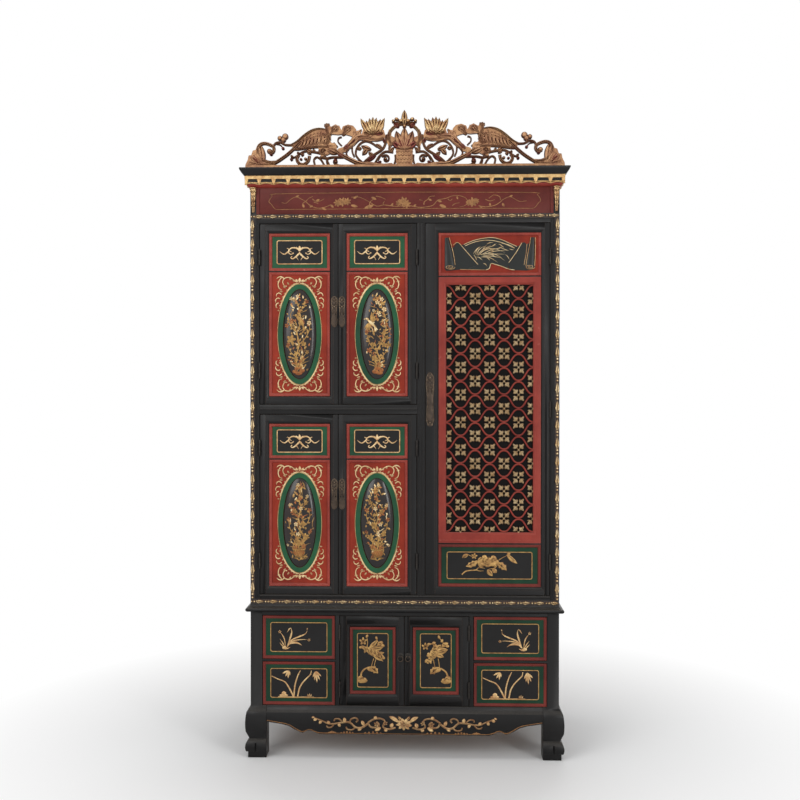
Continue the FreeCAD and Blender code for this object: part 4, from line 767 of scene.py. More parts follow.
def black_field(name, x, z, face, front, body, half, gilt=GOLD):
    """A black plate with rounded corners and a soft edge, and the gold line round it, 2 * half wide."""
    outer = rounded_rectangle(x, z, CORNER)
    inner = rounded_rectangle(inset(x, SOFT), inset(z, SOFT), CORNER - SOFT)
    points = [(px, face + 1, pz) for px, pz in outer] + [(px, front + SOFT * 0.6, pz) for px, pz in outer]
    points += [(px, front, pz) for px, pz in inner]
    mesh = Mesh()
    mesh.add(points, strips(3, len(outer)) + caps(3, len(outer)))
    mesh.piece(name + "_black_field", BLACK, body, "black_lacquer", smooth=30)
    relief = Relief(flat(front), 1.0, 0.3, ROUND)
    relief.stroke(rounded_rectangle(inset(x, 1.2), inset(z, 1.2), CORNER), half, closed=True, steps=1)
    relief.piece(name + "_gold_line", gilt, body, "gilt")


def small_panel(name, x, z, body):
    """The short panel over the oval: a red moulding, a green board and a black field with scrolls."""
    red = red_frame(name, x, z, body)
    panel_board(name + "_green_board", x, z, body, GREEN, "green_paint")
    rim = 22.5 if z[1] - z[0] > 122 else 19.5
    black_field(name, inset(x, 25.5), inset(z, rim), FACE, FACE - 2, body, 1.9)
    scroll_motif(name + "_scrolls", sum(x) / 2, sum(z) / 2, FACE - 2, body)
    return red


def scroll_motif(name, cx, cz, y, body):
    """Two C-scrolls that meet in a bud, with long tendrils out to the sides."""
    relief = Relief(flat(y), 1.5, 0.3, ROUND, 3)
    for side in (1, -1):
        def to(*places):
            return [(cx + side * u, cz + v) for u, v in places]
        relief.stroke(to((3, 9), (14, 15), (27, 15), (37, 7), (37, -2), (30, -7), (22, -4)),
                      [2.2, 2.8, 2.6, 2.2, 2.0, 1.8, 1.2])
        relief.blob(*to((22, -3))[0], 2.9, rise=2.0)
        relief.stroke(to((34, 6), (42, 0), (50, -6), (58, -5), (68, 3)), [2.6, 2.6, 2.2, 1.8, 0.7])
        relief.stroke(to((35, 8), (40, 13), (44, 13)), [1.9, 1.5, 0.8])
        relief.stroke(to((36, 4), (30, 3), (27, 0)), [1.8, 1.4, 0.7])
        relief.stroke(to((2, -4), (10, -13), (19, -20), (26, -22), (30, -18), (27, -14)),
                      [3.4, 3.0, 2.6, 2.2, 1.7, 1.1])
        relief.blob(*to((27, -15))[0], 2.5, rise=1.9)
        relief.stroke(to((14, -15), (8, -20), (4, -27)), [1.8, 1.3, 0.6])
        relief.leaf(*to((3, 8))[0], 90 - side * 38, 14, 6, side * 20)
    relief.leaf(cx, cz + 6, 90, 17, 8, section=VEINED)
    relief.blob(cx, cz + 7, 5.2, 4.4, 2.2)
    relief.blob(cx, cz - 3, 3.4, 5.4, 1.9)
    relief.piece(name, GOLD_LEAFY, body, "gilt")


OVAL_SIDES = 96


def ellipse(cx, cz, a, b):
    angles = [TAU * k / OVAL_SIDES for k in range(OVAL_SIDES)]
    return [(cx + a * math.cos(angle), cz + b * math.sin(angle)) for angle in angles]


def lathe_ovals(mesh, cx, cz, rows, cap=True):
    """Ellipses of (a, b, y) round (cx, cz) joined into a closed form: capped, or else a ring."""
    points = [(x, y, z) for a, b, y in rows for x, z in ellipse(cx, cz, a, b)]
    mesh.add(points, strips(len(rows), OVAL_SIDES, not cap) + (caps(len(rows), OVAL_SIDES) if cap else []))


def medallion(name, x, z, body, painting):
    """The tall panel: a red board, a green oval, a black dome with its painting, and gilt foliage."""
    cx, cz = sum(x) / 2, sum(z) / 2
    red_frame(name, x, z, body)
    panel_board(name + "_red_board", x, z, body, RED_FIELD, "red_lacquer")
    ring = Mesh()
    rows = [(75, 171.5, FACE + 0.5), (75, 171.5, FACE - 2.2), (74.2, 170.7, FACE - 3),
            (58.4, 154.9, FACE - 3), (57.6, 154.1, FACE - 2.2), (57.6, 154.1, FACE + 0.5)]
    lathe_ovals(ring, cx, cz, rows, cap=False)
    ring.piece(name + "_green_oval", GREEN, body, "green_paint", smooth=40)
    line = Relief(flat(FACE - 0.6), 1.6, 0.9, ROUND)
    line.stroke(ellipse(cx, cz, 75.6, 172.1), 1.3, closed=True, steps=1)
    line.piece(name + "_gold_oval", GOLD, body, "gilt")
    wide, high = DOME
    surface = domed(cx, cz, wide, high, FACE, 12.0, 5.0)
    dome = Mesh()
    shares = (1.0, 0.985, 0.965, 0.94, 0.9, 0.85, 0.79, 0.72, 0.63, 0.52, 0.4, 0.26, 0.12)
    rows = [(wide * share, high * share, surface(cx + wide * share, cz)) for share in shares]
    lathe_ovals(dome, cx, cz, [(wide, high, FACE + 0.5)] + rows)
    dome.piece(name + "_dome", BLACK_DOME, body, "black_lacquer", smooth=60)
    corner_foliage(name + "_foliage", cx, cz, FACE, body)
    painting(name + "_painting", cx, cz, surface, body)


def corner_foliage(name, cx, cz, y, body):
    """Gilt scrolls and leaves that fill the corners outside the oval, and a leaf over and under it."""
    relief = Relief(flat(y), 2.4, 0.4, ROUND, 3)
    relief.weight = 1.08
    for side in (1, -1):
        for up in (1, -1):
            def to(*places):
                return [(cx + side * u, cz + up * v) for u, v in places]

            def bearing(angle):
                angle = angle if up > 0 else -angle
                return angle if side > 0 else 180 - angle
            hand = side * up
            relief.stroke(to((2, 175), (17, 171.5), (29, 163), (39, 151.5), (48.5, 137), (56, 122),
                             (62.5, 106), (68, 88)),
                          [1.6, 2.4, 2.8, 2.8, 2.8, 2.6, 2.2, 1.0])
            for number in range(10):
                turn = math.radians(28 + 6.2 * number)
                u, v = 77.5 * math.cos(turn), 174.5 * math.sin(turn)
                relief.leaf(*to((u, v))[0], bearing(math.degrees(turn) - 26), 9.5 - 0.25 * number, 4.4,
                            26 * hand, section=VEINED)
            relief.stroke(to((17, 182), (27, 191), (40, 195), (52, 191), (58, 180), (54, 168), (45, 163)),
                          [1.0, 2.0, 2.4, 2.2, 2.0, 1.7, 1.0])
            relief.blob(*to((45, 165))[0], 2.8, rise=2.8)
            relief.stroke(to((52, 190), (62, 197), (72, 196), (79, 190)), [2.4, 2.8, 2.2, 0.8])
            relief.stroke(to((62, 194), (71, 183), (74, 170), (70, 157), (60, 152)),
                          [2.0, 2.4, 2.2, 1.9, 1.0])
            relief.stroke(to((62, 136), (71, 142), (79, 137), (80, 130)), [2.0, 2.4, 1.9, 0.8])
            relief.stroke(to((67, 122), (76, 124), (83, 116), (81, 108)), [2.0, 2.4, 1.9, 0.8])
            relief.stroke(to((72, 108), (80, 103), (81, 94), (77, 90)), [2.2, 2.2, 1.7, 0.8])
            for u, v, angle, length, bend in (
                    (36, 170, 60, 12, 30), (48, 158, 30, 12, -30), (58, 146, 20, 13, 40),
                    (22, 180, 95, 11, -25), (66, 180, 10, 13, 30), (30, 186, 60, 10, 20)):
                relief.leaf(*to((u, v))[0], bearing(angle), length, 5.0, bend * hand, section=VEINED)
            relief.leaf(*to((5, 180))[0], bearing(50), 14, 6, 30 * hand, section=VEINED)
            relief.leaf(*to((10, 181))[0], bearing(25), 12, 5, 40 * hand)
    for up in (1, -1):
        relief.leaf(cx, cz + up * 176, 90 * up, 19, 8, section=VEINED)
        relief.blob(cx, cz + up * 180, 3.6, rise=3.2)
    relief.carved(name, GOLD_LEAFY, body)


def leafy(canvas, width, points, leaf):
    """A stem with leaves to either side in turn, each as long as leaf."""
    canvas.line("stem", width, points)
    line = smooth_line(points, 4)
    side = 1
    for i in range(1, len(line) - 1, 2):
        heading = math.atan2(line[i + 1][1] - line[i - 1][1], line[i + 1][0] - line[i - 1][0])
        turn = heading + math.radians(50) * side
        foot = tuple(line[i])
        tip = (foot[0] + leaf * math.cos(turn), foot[1] + leaf * math.sin(turn))
        canvas.leaf(leaf * 0.42, foot, tip, 14 * side, section=PEAKED)
        side = -side


class Picture:
    """The three golds of a medallion's painting on one grid, centred on the medallion."""

    def __init__(self, cx, cz, surface):
        grid = (-147, -395, 147, 395)
        x, z = (cx - DOME[0], cx + DOME[0]), (cz - DOME[1], cz + DOME[1])
        self.inks = []
        for rise in (0.8, 1.0, 0.9):
            self.inks.append(Canvas(Relief(surface, rise, 0.6, BRUSHED, 2), grid, x, z))
        self.gold, self.pale, self.copper = self.inks

    def done(self, name, body):
        for canvas, tone, material in zip(
                self.inks, ("gold", "pale", "copper"), (GOLD_FINE, GOLD_PALE, COPPER)):
            if canvas.relief.points:
                canvas.relief.carved(f"{name}_{tone}", material, body)

    def rocks(self, places):
        for u, v, wide, high in places:
            self.copper.blob(wide, high, (u, v), rise=1.0)
            self.gold.line("petal", 7,
                           ((u - wide * 0.7, v + 4), (u, v - high * 0.7), (u + wide * 0.7, v + 4)), 1.6)

    def grass(self, foot, tips):
        for u, v in tips:
            middle = (foot[0] + (u - foot[0]) * 0.3, foot[1] + (v - foot[1]) * 0.62)
            self.gold.line("blade", 9, (foot, middle, (u, v)))

    def thicket(self, seed, count, arcs, lean=0.0):
        """Small leaves and blades all over the dome, denser to one side, in a fixed order."""
        rng = np.random.default_rng(seed)
        for number in range(count + arcs):
            v = float(rng.uniform(-335, 325))
            reach = 120 * math.sqrt(1 - (v / 372) ** 2)
            u = float(np.clip(rng.normal(lean * reach, reach * 0.5), -reach, reach))
            heading = math.radians(90 + float(rng.uniform(-75, 75)) - (u * 0.5 if v > 0 else u * 0.2))
            length = float(rng.uniform(20, 36)) if number < count else float(rng.uniform(54, 92))
            tip = (u + length * math.cos(heading), v - length * math.sin(heading))
            if (tip[0] / 132) ** 2 + (tip[1] / 376) ** 2 > 1:
                continue
            share = float(rng.uniform())
            canvas = self.gold if share < 0.55 else self.copper if share < 0.8 else self.pale
            if number < count:
                canvas.leaf(float(rng.uniform(8, 14)), (u, v), tip, float(rng.uniform(-30, 30)), 0.7, PEAKED)
            else:
                middle = ((u + tip[0]) / 2 + float(rng.uniform(-14, 14)), (v + tip[1]) / 2)
                canvas.line("blade", 8, ((u, v), middle, tip), 0.7)

    def basket(self, u, v, wide, high):
        """A round basket: a rim, a woven body and a foot."""
        self.gold.line("even", 12,
                       ((u - wide, v - high / 2), (u, v - high / 2 + 8), (u + wide, v - high / 2)), 1.8)
        self.gold.line("even", 9, ((u - wide * 0.6, v + high / 2), (u, v + high / 2 + 5),
                                   (u + wide * 0.6, v + high / 2)), 1.6)
        self.copper.blob(wide * 0.9, high * 0.56, (u, v), rise=0.9)
        for share in (-0.8, -0.4, 0.0, 0.4, 0.8):
            for lean in (-0.3, 0.3):
                self.gold.line("even", 6, ((u + wide * share, v - high / 2),
                                           (u + wide * (share * 0.8 + lean), v),
                                           (u + wide * share * 0.6, v + high / 2)), 1.3)
        self.gold.line("even", 8, ((u - wide, v - high / 2), (u - wide * 0.7, v - high * 1.5),
                                   (u, v - high * 2.1), (u + wide * 0.7, v - high * 1.5),
                                   (u + wide, v - high / 2)))

    def blossoms(self, canvas, places, layers=1):
        for number, (u, v, radius) in enumerate(places):
            canvas.flower(radius, (u, v), 5, 17 * number, 1.3, layers)


def perched_picture(name, cx, cz, surface, body):
    """Flowering stems over rocks, with a bird on a branch."""
    it = Picture(cx, cz, surface)
    it.rocks(((-40, 330, 26, 18), (-8, 345, 34, 18), (24, 322, 24, 20), (-22, 300, 24, 16),
              (10, 296, 16, 12)))
    leafy(it.gold, 12,
          ((-14, 300), (-28, 200), (0, 90), (-22, -20), (16, -100), (2, -200), (-22, -285), (-60, -318)), 30)
    leafy(it.gold, 9, ((0, 90), (50, 40), (84, -20), (96, -90)), 26)
    leafy(it.gold, 9, ((-22, -20), (-66, -60), (-98, -120)), 26)
    leafy(it.gold, 9, ((-28, 200), (-74, 160), (-104, 96)), 26)
    leafy(it.gold, 8, ((2, -200), (40, -236), (58, -286)), 22)
    leafy(it.copper, 8, ((-14, 262), (-60, 250), (-92, 216)), 24)
    it.grass((4, 300), ((60, 128), (84, 150), (104, 186), (42, 150), (92, 232)))
    it.grass((-20, 300), ((-72, 250), (-58, 226)))
    it.blossoms(it.gold, ((-72, 46, 44), (36, 84, 26), (-30, 216, 26), (70, 158, 20)), 2)
    it.blossoms(it.copper, ((-112, -76, 24), (-66, -118, 24), (64, -286, 20), (-98, 96, 24), (10, 240, 20)))
    it.blossoms(it.pale, ((-78, -316, 20), (-18, -336, 17), (-48, -296, 13), (88, -96, 22)))
    it.gold.line("petal", 46, ((-24, -156), (2, -130), (24, -96), (38, -66)), 2.0, VEINED)
    it.gold.blob(15, 13, (-28, -164), 20, 2.2)
    it.gold.leaf(8, (-36, -168), (-60, -162))
    for tip in ((52, -24), (62, -34), (42, -18)):
        it.gold.leaf(12, (34, -76), tip, 6)
    for tip in ((42, -120), (50, -104), (52, -88)):
        it.copper.leaf(15, (4, -134), tip, 10)
    it.thicket(3, 110, 26, -0.15)
    it.done(name, body)


def flying_picture(name, cx, cz, surface, body):
    """A bird in flight among blossoms, over roots and flowers."""
    it = Picture(cx, cz, surface)
    it.rocks(((-16, 330, 30, 20), (22, 342, 32, 16), (40, 316, 22, 18), (4, 300, 28, 18)))
    leafy(it.gold, 12, ((10, 300), (26, 220), (0, 150), (44, 70), (70, -10), (84, -90), (66, -170),
                        (38, -250), (46, -310)), 30)
    leafy(it.gold, 9, ((0, 150), (-44, 110), (-80, 50), (-88, -10)), 26)
    leafy(it.gold, 9, ((26, 220), (70, 170), (104, 110)), 24)
    leafy(it.gold, 8, ((66, -170), (22, -200), (-20, -204)), 22)
    leafy(it.copper, 8, ((84, -90), (110, -40), (116, 10)), 20)
    it.grass((0, 300), ((-60, 200), (-84, 232), (-40, 180), (-96, 262)))
    it.grass((24, 300), ((76, 236), (92, 262)))
    it.blossoms(it.pale, ((42, -306, 22), (4, -278, 22), (64, -216, 24), (14, -182, 22), (-30, -206, 14)))
    it.blossoms(it.copper, ((-68, 144, 28), (-90, -20, 22), (82, -84, 20), (20, 262, 20)))
    it.blossoms(it.gold, ((-18, 214, 32), (62, 94, 28), (108, 96, 22), (-30, 92, 22), (88, 30, 20)), 2)
    it.pale.line("petal", 34, ((-84, -126), (-58, -104), (-34, -80), (-18, -60)), 2.0, VEINED)
    it.pale.blob(13, 12, (-92, -134), 20, 2.2)
    it.pale.leaf(8, (-100, -136), (-120, -128))
    for tip in ((-116, -42), (-100, -30), (-84, -24), (-68, -22)):
        it.gold.leaf(17, (-58, -104), tip, 8)
    for tip in ((-44, -196), (-28, -180), (-12, -160), (2, -138)):
        it.gold.leaf(17, (-50, -104), tip, -8)
    for tip in ((0, -22), (-10, -14), (10, -34)):
        it.pale.leaf(11, (-22, -66), tip, 6)
    it.thicket(5, 110, 26, 0.15)
    it.done(name, body)


def basket_picture(name, cx, cz, surface, body, hand=1):
    """A basket of flowers; hand mirrors it."""
    it = Picture(cx, cz, surface)
    for canvas in it.inks:
        canvas.flip = hand < 0
    it.basket(-4, 262, 56, 66)
    it.grass((-20, 226), ((-84, 120), (-98, 160), (-104, 204)))
    it.grass((16, 226), ((88, 128), (100, 176), (76, 96)))
    it.grass((-4, 330), ((-70, 306), (-50, 300), (60, 304), (80, 312)))
    leafy(it.gold, 12,
          ((-4, 226), (-14, 130), (12, 40), (-10, -50), (18, -130), (-6, -210), (14, -280), (-12, -330)), 32)
    leafy(it.gold, 9, ((-14, 130), (-62, 90), (-88, 30), (-92, -30)), 26)
    leafy(it.gold, 9, ((12, 40), (62, 10), (92, -50), (88, -110)), 26)
    leafy(it.copper, 9, ((-10, -50), (-56, -90), (-80, -150)), 24)
    leafy(it.gold, 8, ((18, -130), (56, -170), (68, -226)), 22)
    leafy(it.gold, 8, ((10, 170), (60, 140), (98, 80)), 22)
    it.blossoms(it.gold,
                ((-6, 176, 32), (52, 116, 30), (-58, 92, 28), (30, 10, 26), (-40, -106, 24), (58, -182, 22)),
                2)
    it.blossoms(it.copper,
                ((-36, 216, 24), (40, 204, 24), (-94, -34, 22), (90, -114, 22), (8, -218, 22), (96, 76, 18)))
    it.blossoms(it.pale, ((-12, 96, 20), (-30, 10, 20), (-84, -158, 18), (14, -128, 20), (-12, -336, 18),
                          (70, -236, 16), (-104, 196, 14)))
    it.thicket(7 if hand > 0 else 9, 100, 24)
    it.done(name, body)


PAINTINGS = {"upper_left": perched_picture, "upper_right": flying_picture,
             "lower_left": basket_picture, "lower_right": lambda *place: basket_picture(*place, hand=-1)}


def leaf_panels():
    """The two panels of each of the four leaf doors."""
    for row, small in (("upper", 127), ("lower", 118)):
        for column in ("left", "right"):
            name = f"{row}_{column}"
            x, y, z = span(name + "_panels")
            top = (z[1] - small, z[1])
            low = (z[0], z[1] - small - 5)
            red = small_panel(name + "_small", x, top, name + "_door")
            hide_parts(name + "_panels")
            medallion(name + "_tall", x, low, name + "_door", PAINTINGS[name])


leaf_panels()


# Chased work on the solids' plain plates

PLATE_FACE = -233.9


def plate_work(name, body, cx, low, tall, wide, levels):
    """Rims, bosses and scrolls on a plate whose foot is at low."""
    relief = Relief(flat(PLATE_FACE), 1.6, 0.3, ROUND, 2)
    dark = Relief(flat(PLATE_FACE), 0.25, 0.1, BRUSHED, 2)
    half = wide / 2
    for side in (1, -1):
        relief.stroke(
            [(cx, low + tall * 0.985), (cx + side * half * 0.5, low + tall * 0.955),
             (cx + side * half * 0.86, low + tall * 0.89), (cx + side * half * 0.86, low + tall * 0.72),
             (cx + side * half * 0.7, low + tall * 0.6), (cx + side * half * 0.66, low + tall * 0.4),
             (cx + side * half * 0.86, low + tall * 0.13), (cx + side * half * 0.4, low + tall * 0.03)], 0.9)
    for level in levels:
        z = low + tall * level
        relief.blob(cx, z, 3.4, rise=3.2, sides=10)
        for side in (1, -1):
            relief.spiral(cx + side * half * 0.46, z + tall * 0.045, 2.7, 270, 1.1, 0.8, side, (), 1.6, 0.8)
            relief.spiral(cx + side * half * 0.46, z - tall * 0.045, 2.7, 90, 1.1, 0.8, -side, (), 1.6, 0.8)
            dark.blob(cx + side * half * 0.44, z + tall * 0.09, half * 0.2, 3.4, 0.3, side * 14, 8)
            dark.blob(cx + side * half * 0.5, z, half * 0.2, 1.7, 0.3, sides=8)
        dark.blob(cx, z + tall * 0.07, half * 0.17, 3.4, 0.3, sides=8)
        dark.blob(cx, z - tall * 0.07, half * 0.17, 3.4, 0.3, sides=8)
    relief.carved(name + "_plate_work", BRONZE_CHASED, body, "bronze")
    dark.carved(name + "_plate_piercings", BLACK, body, "bronze")


for row, middle in (("upper", 1526.5), ("lower", 903.5)):
    for column, centre in (("left", MEETING - PLATE_OUT), ("right", MEETING + PLATE_OUT)):
        plate_work(f"{row}_{column}", f"{row}_{column}_door", centre, middle - 53.5, 107, 22,
                   (0.14, 0.32, 0.66, 0.87))
plate_work("tall", "tall_door", 88, 1227 - 93.5, 187, 28, (0.08, 0.2, 0.32, 0.72, 0.9))


# The tall door's lattice: rows of wavy bars with a flower in each cell


def tube(mesh, line, section):
    """A bar along line, which is rows of (x, z), with a section of (across, y)."""
    line = np.array(line, float)
    ahead = np.gradient(line, axis=0)
    ahead /= np.hypot(ahead[:, 0], ahead[:, 1])[:, None]
    count, size = len(line), len(section)
    points = [(line[i, 0] - ahead[i, 1] * across, y, line[i, 1] + ahead[i, 0] * across)
              for i in range(count) for across, y in section]
    mesh.add(points, strips(count, size, reverse=True) + caps(count, size, flip=True))


def lattice():
    """The bars, row by row, and a flower of four petals where the bars' waves part."""
    x, y, z = span("tall_lattice")
    rows, periods = 18, 3
    pitch, period = (z[1] - z[0]) / rows, (x[1] - x[0]) / periods
    swing = (pitch - 4.8) / 2
    front, back = y
    section = [(-2.6, back), (-2.6, front + 3.6), (-2.1, front + 1.4), (-0.9, front + 0.1),
               (0.9, front + 0.1), (2.1, front + 1.4), (2.6, front + 3.6), (2.6, back)]
    bars = Mesh()
    for row in range(rows):
        middle, up = z[1] - pitch * (row + 0.5), swing if row % 2 == 0 else -swing
        line = [(x[0] + period * t, middle + up * math.cos(TAU * t) * (1.3 - 0.3 * math.cos(TAU * t) ** 2))
                for t in np.linspace(0, periods, periods * 20 + 1)]
        tube(bars, line, section)
    bars = bars.piece("lattice_bars", RED_FRAME, "tall_door", "red_lacquer", smooth=60)
    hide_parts("tall_lattice")
    petals = Relief(flat(front + 3.6), 4.2, 4.6, VEINED, 1)
    seeds = Relief(flat(front + 0.6), 1.6, 3.0)
    bearing = math.atan2(21.5, 19.5)
    for level in range(rows + 1):
        height = z[1] - pitch * level
        for number in range(periods + 1):
            centre = x[0] + period * (number + (0.5 if level % 2 == 0 else 0.0))
            if centre > x[1] + 1:
                continue
            for quarter in range(4):
                angle = (bearing, math.pi - bearing, math.pi + bearing, -bearing)[quarter]
                dx, dz = math.cos(angle), math.sin(angle)
                if (centre < x[0] + 1 and dx < 0) or (centre > x[1] - 1 and dx > 0):
                    continue
                if (level == 0 and dz > 0) or (level == rows and dz < 0):
                    continue
                reach = (0.6, 5.0, 9.0, 13.0, 17.0, 22.0, 27.6)
                wide = (1.3, 1.4, 1.9, 3.3, 4.4, 3.9, 0.9)
                petals.stroke([(centre + dx * r, height + dz * r) for r in reach], wide)
                for hand in (1, -1):
                    lean = angle + hand * math.radians(56)
                    foot = (centre + dx * 10.5, height + dz * 10.5)
                    side = [(foot[0] + math.cos(lean) * r, foot[1] + math.sin(lean) * r)
                            for r in (0, 4.0, 8.0, 11.4)]
                    petals.stroke(side, (1.8, 3.6, 3.7, 1.0), 3.7)
            seeds.blob(centre, height, 2.6, rise=1.6, sides=8)
    petals.carved("lattice_petals", GOLD_PALE, "tall_door")
    seeds.carved("lattice_seeds", GOLD_PALE, "tall_door")


lattice()


# The framed boards of the base, the drawers and the tall door's foot


def framed_board(name, x, z, body, top=RED_Y, face=FACE, back=BOARD_BACK, frame_back=DOOR_BACK, field=25.5):
    """A red frame, a green board and a black field. Returns the frame, and the y of the field's front."""
    red = red_frame(name, x, z, body, top=top, face=face, back=frame_back, paint=RED_LOW)
    panel_board(name + "_green_board", x, z, body, GREEN_LOW, "green_paint", face, back)
    black_field(name, inset(x, field), inset(z, field - 3), face, face - 1.6, body, 1.7, GOLD_LOW)
    return red, face - 1.6


def picture(node, surface, draw, grid, x, z, body, material, rise=1.7, flip=False):
    """What draw puts on a canvas over the spans x and z, as one piece."""
    relief = Relief(flat(surface), rise, 0.3, ROUND, 3)
    draw(Canvas(relief, grid, x, z, flip))
    relief.carved(node + "_painting", material, body)


ORCHID_LEAVES = (
    (19, ((397, 648), (392, 570), (376, 512), (348, 466), (326, 438))),
    (26, ((424, 630), (450, 560), (476, 480), (486, 425), (472, 376))),
    (18, ((474, 378), (450, 396), (420, 442))),
    (23, ((420, 640), (448, 580), (506, 532), (587, 498), (655, 469), (690, 436), (698, 386))),
    (20, ((430, 625), (470, 574), (529, 550), (632, 538), (708, 540))),
    (32, ((425, 635), (460, 594), (529, 580), (587, 594), (625, 620))),
    (18, ((391, 648), (364, 590), (322, 532))), (17, ((380, 655), (346, 612), (318, 582))),
    (18, ((410, 662), (440, 656), (466, 642))))


def orchid(canvas):
    """The picture on the upper drawers."""
    for width, points in ORCHID_LEAVES:
        canvas.line("blade", width, points, section=VEINED if width > 20 else None)
    canvas.flower(24, (320, 432), 5, 20)
    canvas.blob(13, 9, (698, 390), 60)
    canvas.flower(22, (722, 544), 5, 50)
    for u, v, w, h in ((378, 652, 26, 22), (402, 660, 26, 20), (392, 640, 18, 18), (424, 664, 18, 12)):
        canvas.blob(w, h, (u, v), rise=1.6)


BAMBOO_STEMS = ((25, ((512, 1304), (484, 1246), (440, 1164), (389, 1098), (300, 1062), (208, 1020))),
                (24, ((516, 1300), (529, 1161), (551, 1071), (579, 993), (607, 940))),
                (24, ((568, 1298), (592, 1188), (640, 1105), (701, 1040), (746, 993), (757, 940))))


def bamboo(canvas):
    """The picture on the lower drawers."""
    for width, points in BAMBOO_STEMS:
        canvas.line("stem", width, points)
        for u, v in points[1:-1]:
            canvas.blob(15, 9, (u, v))
    clusters = (((448, 946), ((352, 990), (398, 1034), (438, 1058), (466, 1012))),
                ((822, 950), ((776, 1040), (802, 1084), (842, 1118), (880, 1078), (900, 1022))))
    for foot, tips in clusters:
        for tip in tips:
            canvas.leaf(21, foot, tip, 10, section=PEAKED)
    for u, v, w, h in ((378, 1262, 36, 36), (352, 1286, 40, 18), (404, 1284, 34, 20)):
        canvas.blob(w, h, (u, v), rise=2.0)
    for foot, tip in (((716, 1304), (706, 1262)), ((728, 1304), (734, 1250)), ((742, 1304), (762, 1262))):
        canvas.leaf(15, foot, tip)
    canvas.line("stem", 13, ((300, 1303), (420, 1304), (560, 1306), (700, 1303), (790, 1304)))


def drawer(level, side):
    name = f"drawer_{level}_{side}"
    x, y, z = span(name)
    low = z[0] + 1.7
    front = (low, z[1])
    red, surface = framed_board(name, x, front, name, -232.5, -228.5, -216, -214.5)
    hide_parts(name)
    box = Mesh()
    bx, by, bz = inset(x, 4), (-214.5, y[1]), (z[0], z[1] - 18)
    for wall in (((bx[0], bx[0] + 10), by, bz), ((bx[1] - 10, bx[1]), by, bz),
                 ((bx[0] + 10, bx[1] - 10), (by[1] - 10, by[1]), bz),
                 ((bx[0] + 10, bx[1] - 10), (by[0], by[1] - 10), (bz[0] + 5, bz[0] + 10)),
                 (inset(x, 9), (-216.5, -214.5), inset(front, 9))):
        box_mesh(box, *wall)
    box.piece(name + "_box", WOOD_ACROSS, name, "raw_wood", smooth=0, bevel=0.5, segments=1)
    if level == "upper":
        picture(name, surface, orchid, (90, 210, 1075, 800), x, front, name, GOLD, 1.5, side == "right")
    else:
        picture(name, surface, bamboo, (90, 820, 1080, 1410), x, front, name, GOLD, 1.5)


for level in ("upper", "lower"):
    for side in ("left", "right"):
        drawer(level, side)


PERCHED_PLUMES = (((280, 330), (368, 302), 34, 3.4), ((276, 318), (330, 262), 24, 2.8),
                  ((318, 350), (372, 342), 20, 2.8), ((300, 356), (352, 394), 18, 2.4),
                  ((262, 322), (244, 348), 16, 2.4), ((330, 356), (366, 400), 15, 2.2))


def perched_bird(canvas):
    """The picture on the left door: a mound, a curved stem with a drooping leaf, and a bird among buds."""
    for u, v, w, h in ((232, 520, 34, 17), (222, 504, 19, 17), (244, 512, 17, 13)):
        canvas.blob(w, h, (u, v), rise=2.0)
    canvas.line("stem", 13, ((223, 500), (229, 468), (250, 446), (282, 434), (306, 432)))
    canvas.leaf(34, (284, 434), (332, 474), -16, 2.2, lobes=3)
    canvas.leaf(17, (262, 440), (290, 462), -10, 2.0)
    canvas.line("even", 6, ((290, 434), (296, 408), (306, 380)))
    canvas.line("even", 6, ((308, 432), (312, 406), (322, 376)))
    canvas.line("petal", 48, ((226, 306), (262, 324), (308, 346), (350, 366), (374, 382)), rise=3.0,
                section=VEINED)
    for foot, tip, width, rise in PERCHED_PLUMES:
        canvas.leaf(width, foot, tip, 12, rise)
    for row in range(3):
        for column in range(4):
            canvas.blob(7.5, 5.5, (262 + 24 * column - 5 * row, 318 + 10 * column + 11 * row), 25, 3.7)
    canvas.flower(27, (238, 274), 5, 20, 2.4, 2)
    canvas.line("stem", 8, ((262, 312), (266, 280), (262, 250)))
    canvas.line("stem", 8, ((330, 300), (332, 282), (322, 258)))
    for u, v, w, h, angle in ((262, 242, 13, 9, 60), (322, 254, 13, 9, 110), (346, 286, 21, 15, 20),
                              (362, 300, 14, 11, -20), (222, 312, 12, 10, 0)):
        canvas.blob(w, h, (u, v), angle, 2.6)


STANDING_PLUMES = (((692, 344), (768, 322), 38, 3.4), ((694, 356), (742, 368), 26, 3.0),
                   ((664, 350), (634, 360), 28, 2.8), ((690, 320), (726, 292), 22, 2.8),
                   ((652, 384), (664, 412), 16, 2.4), ((640, 380), (624, 404), 16, 2.4))


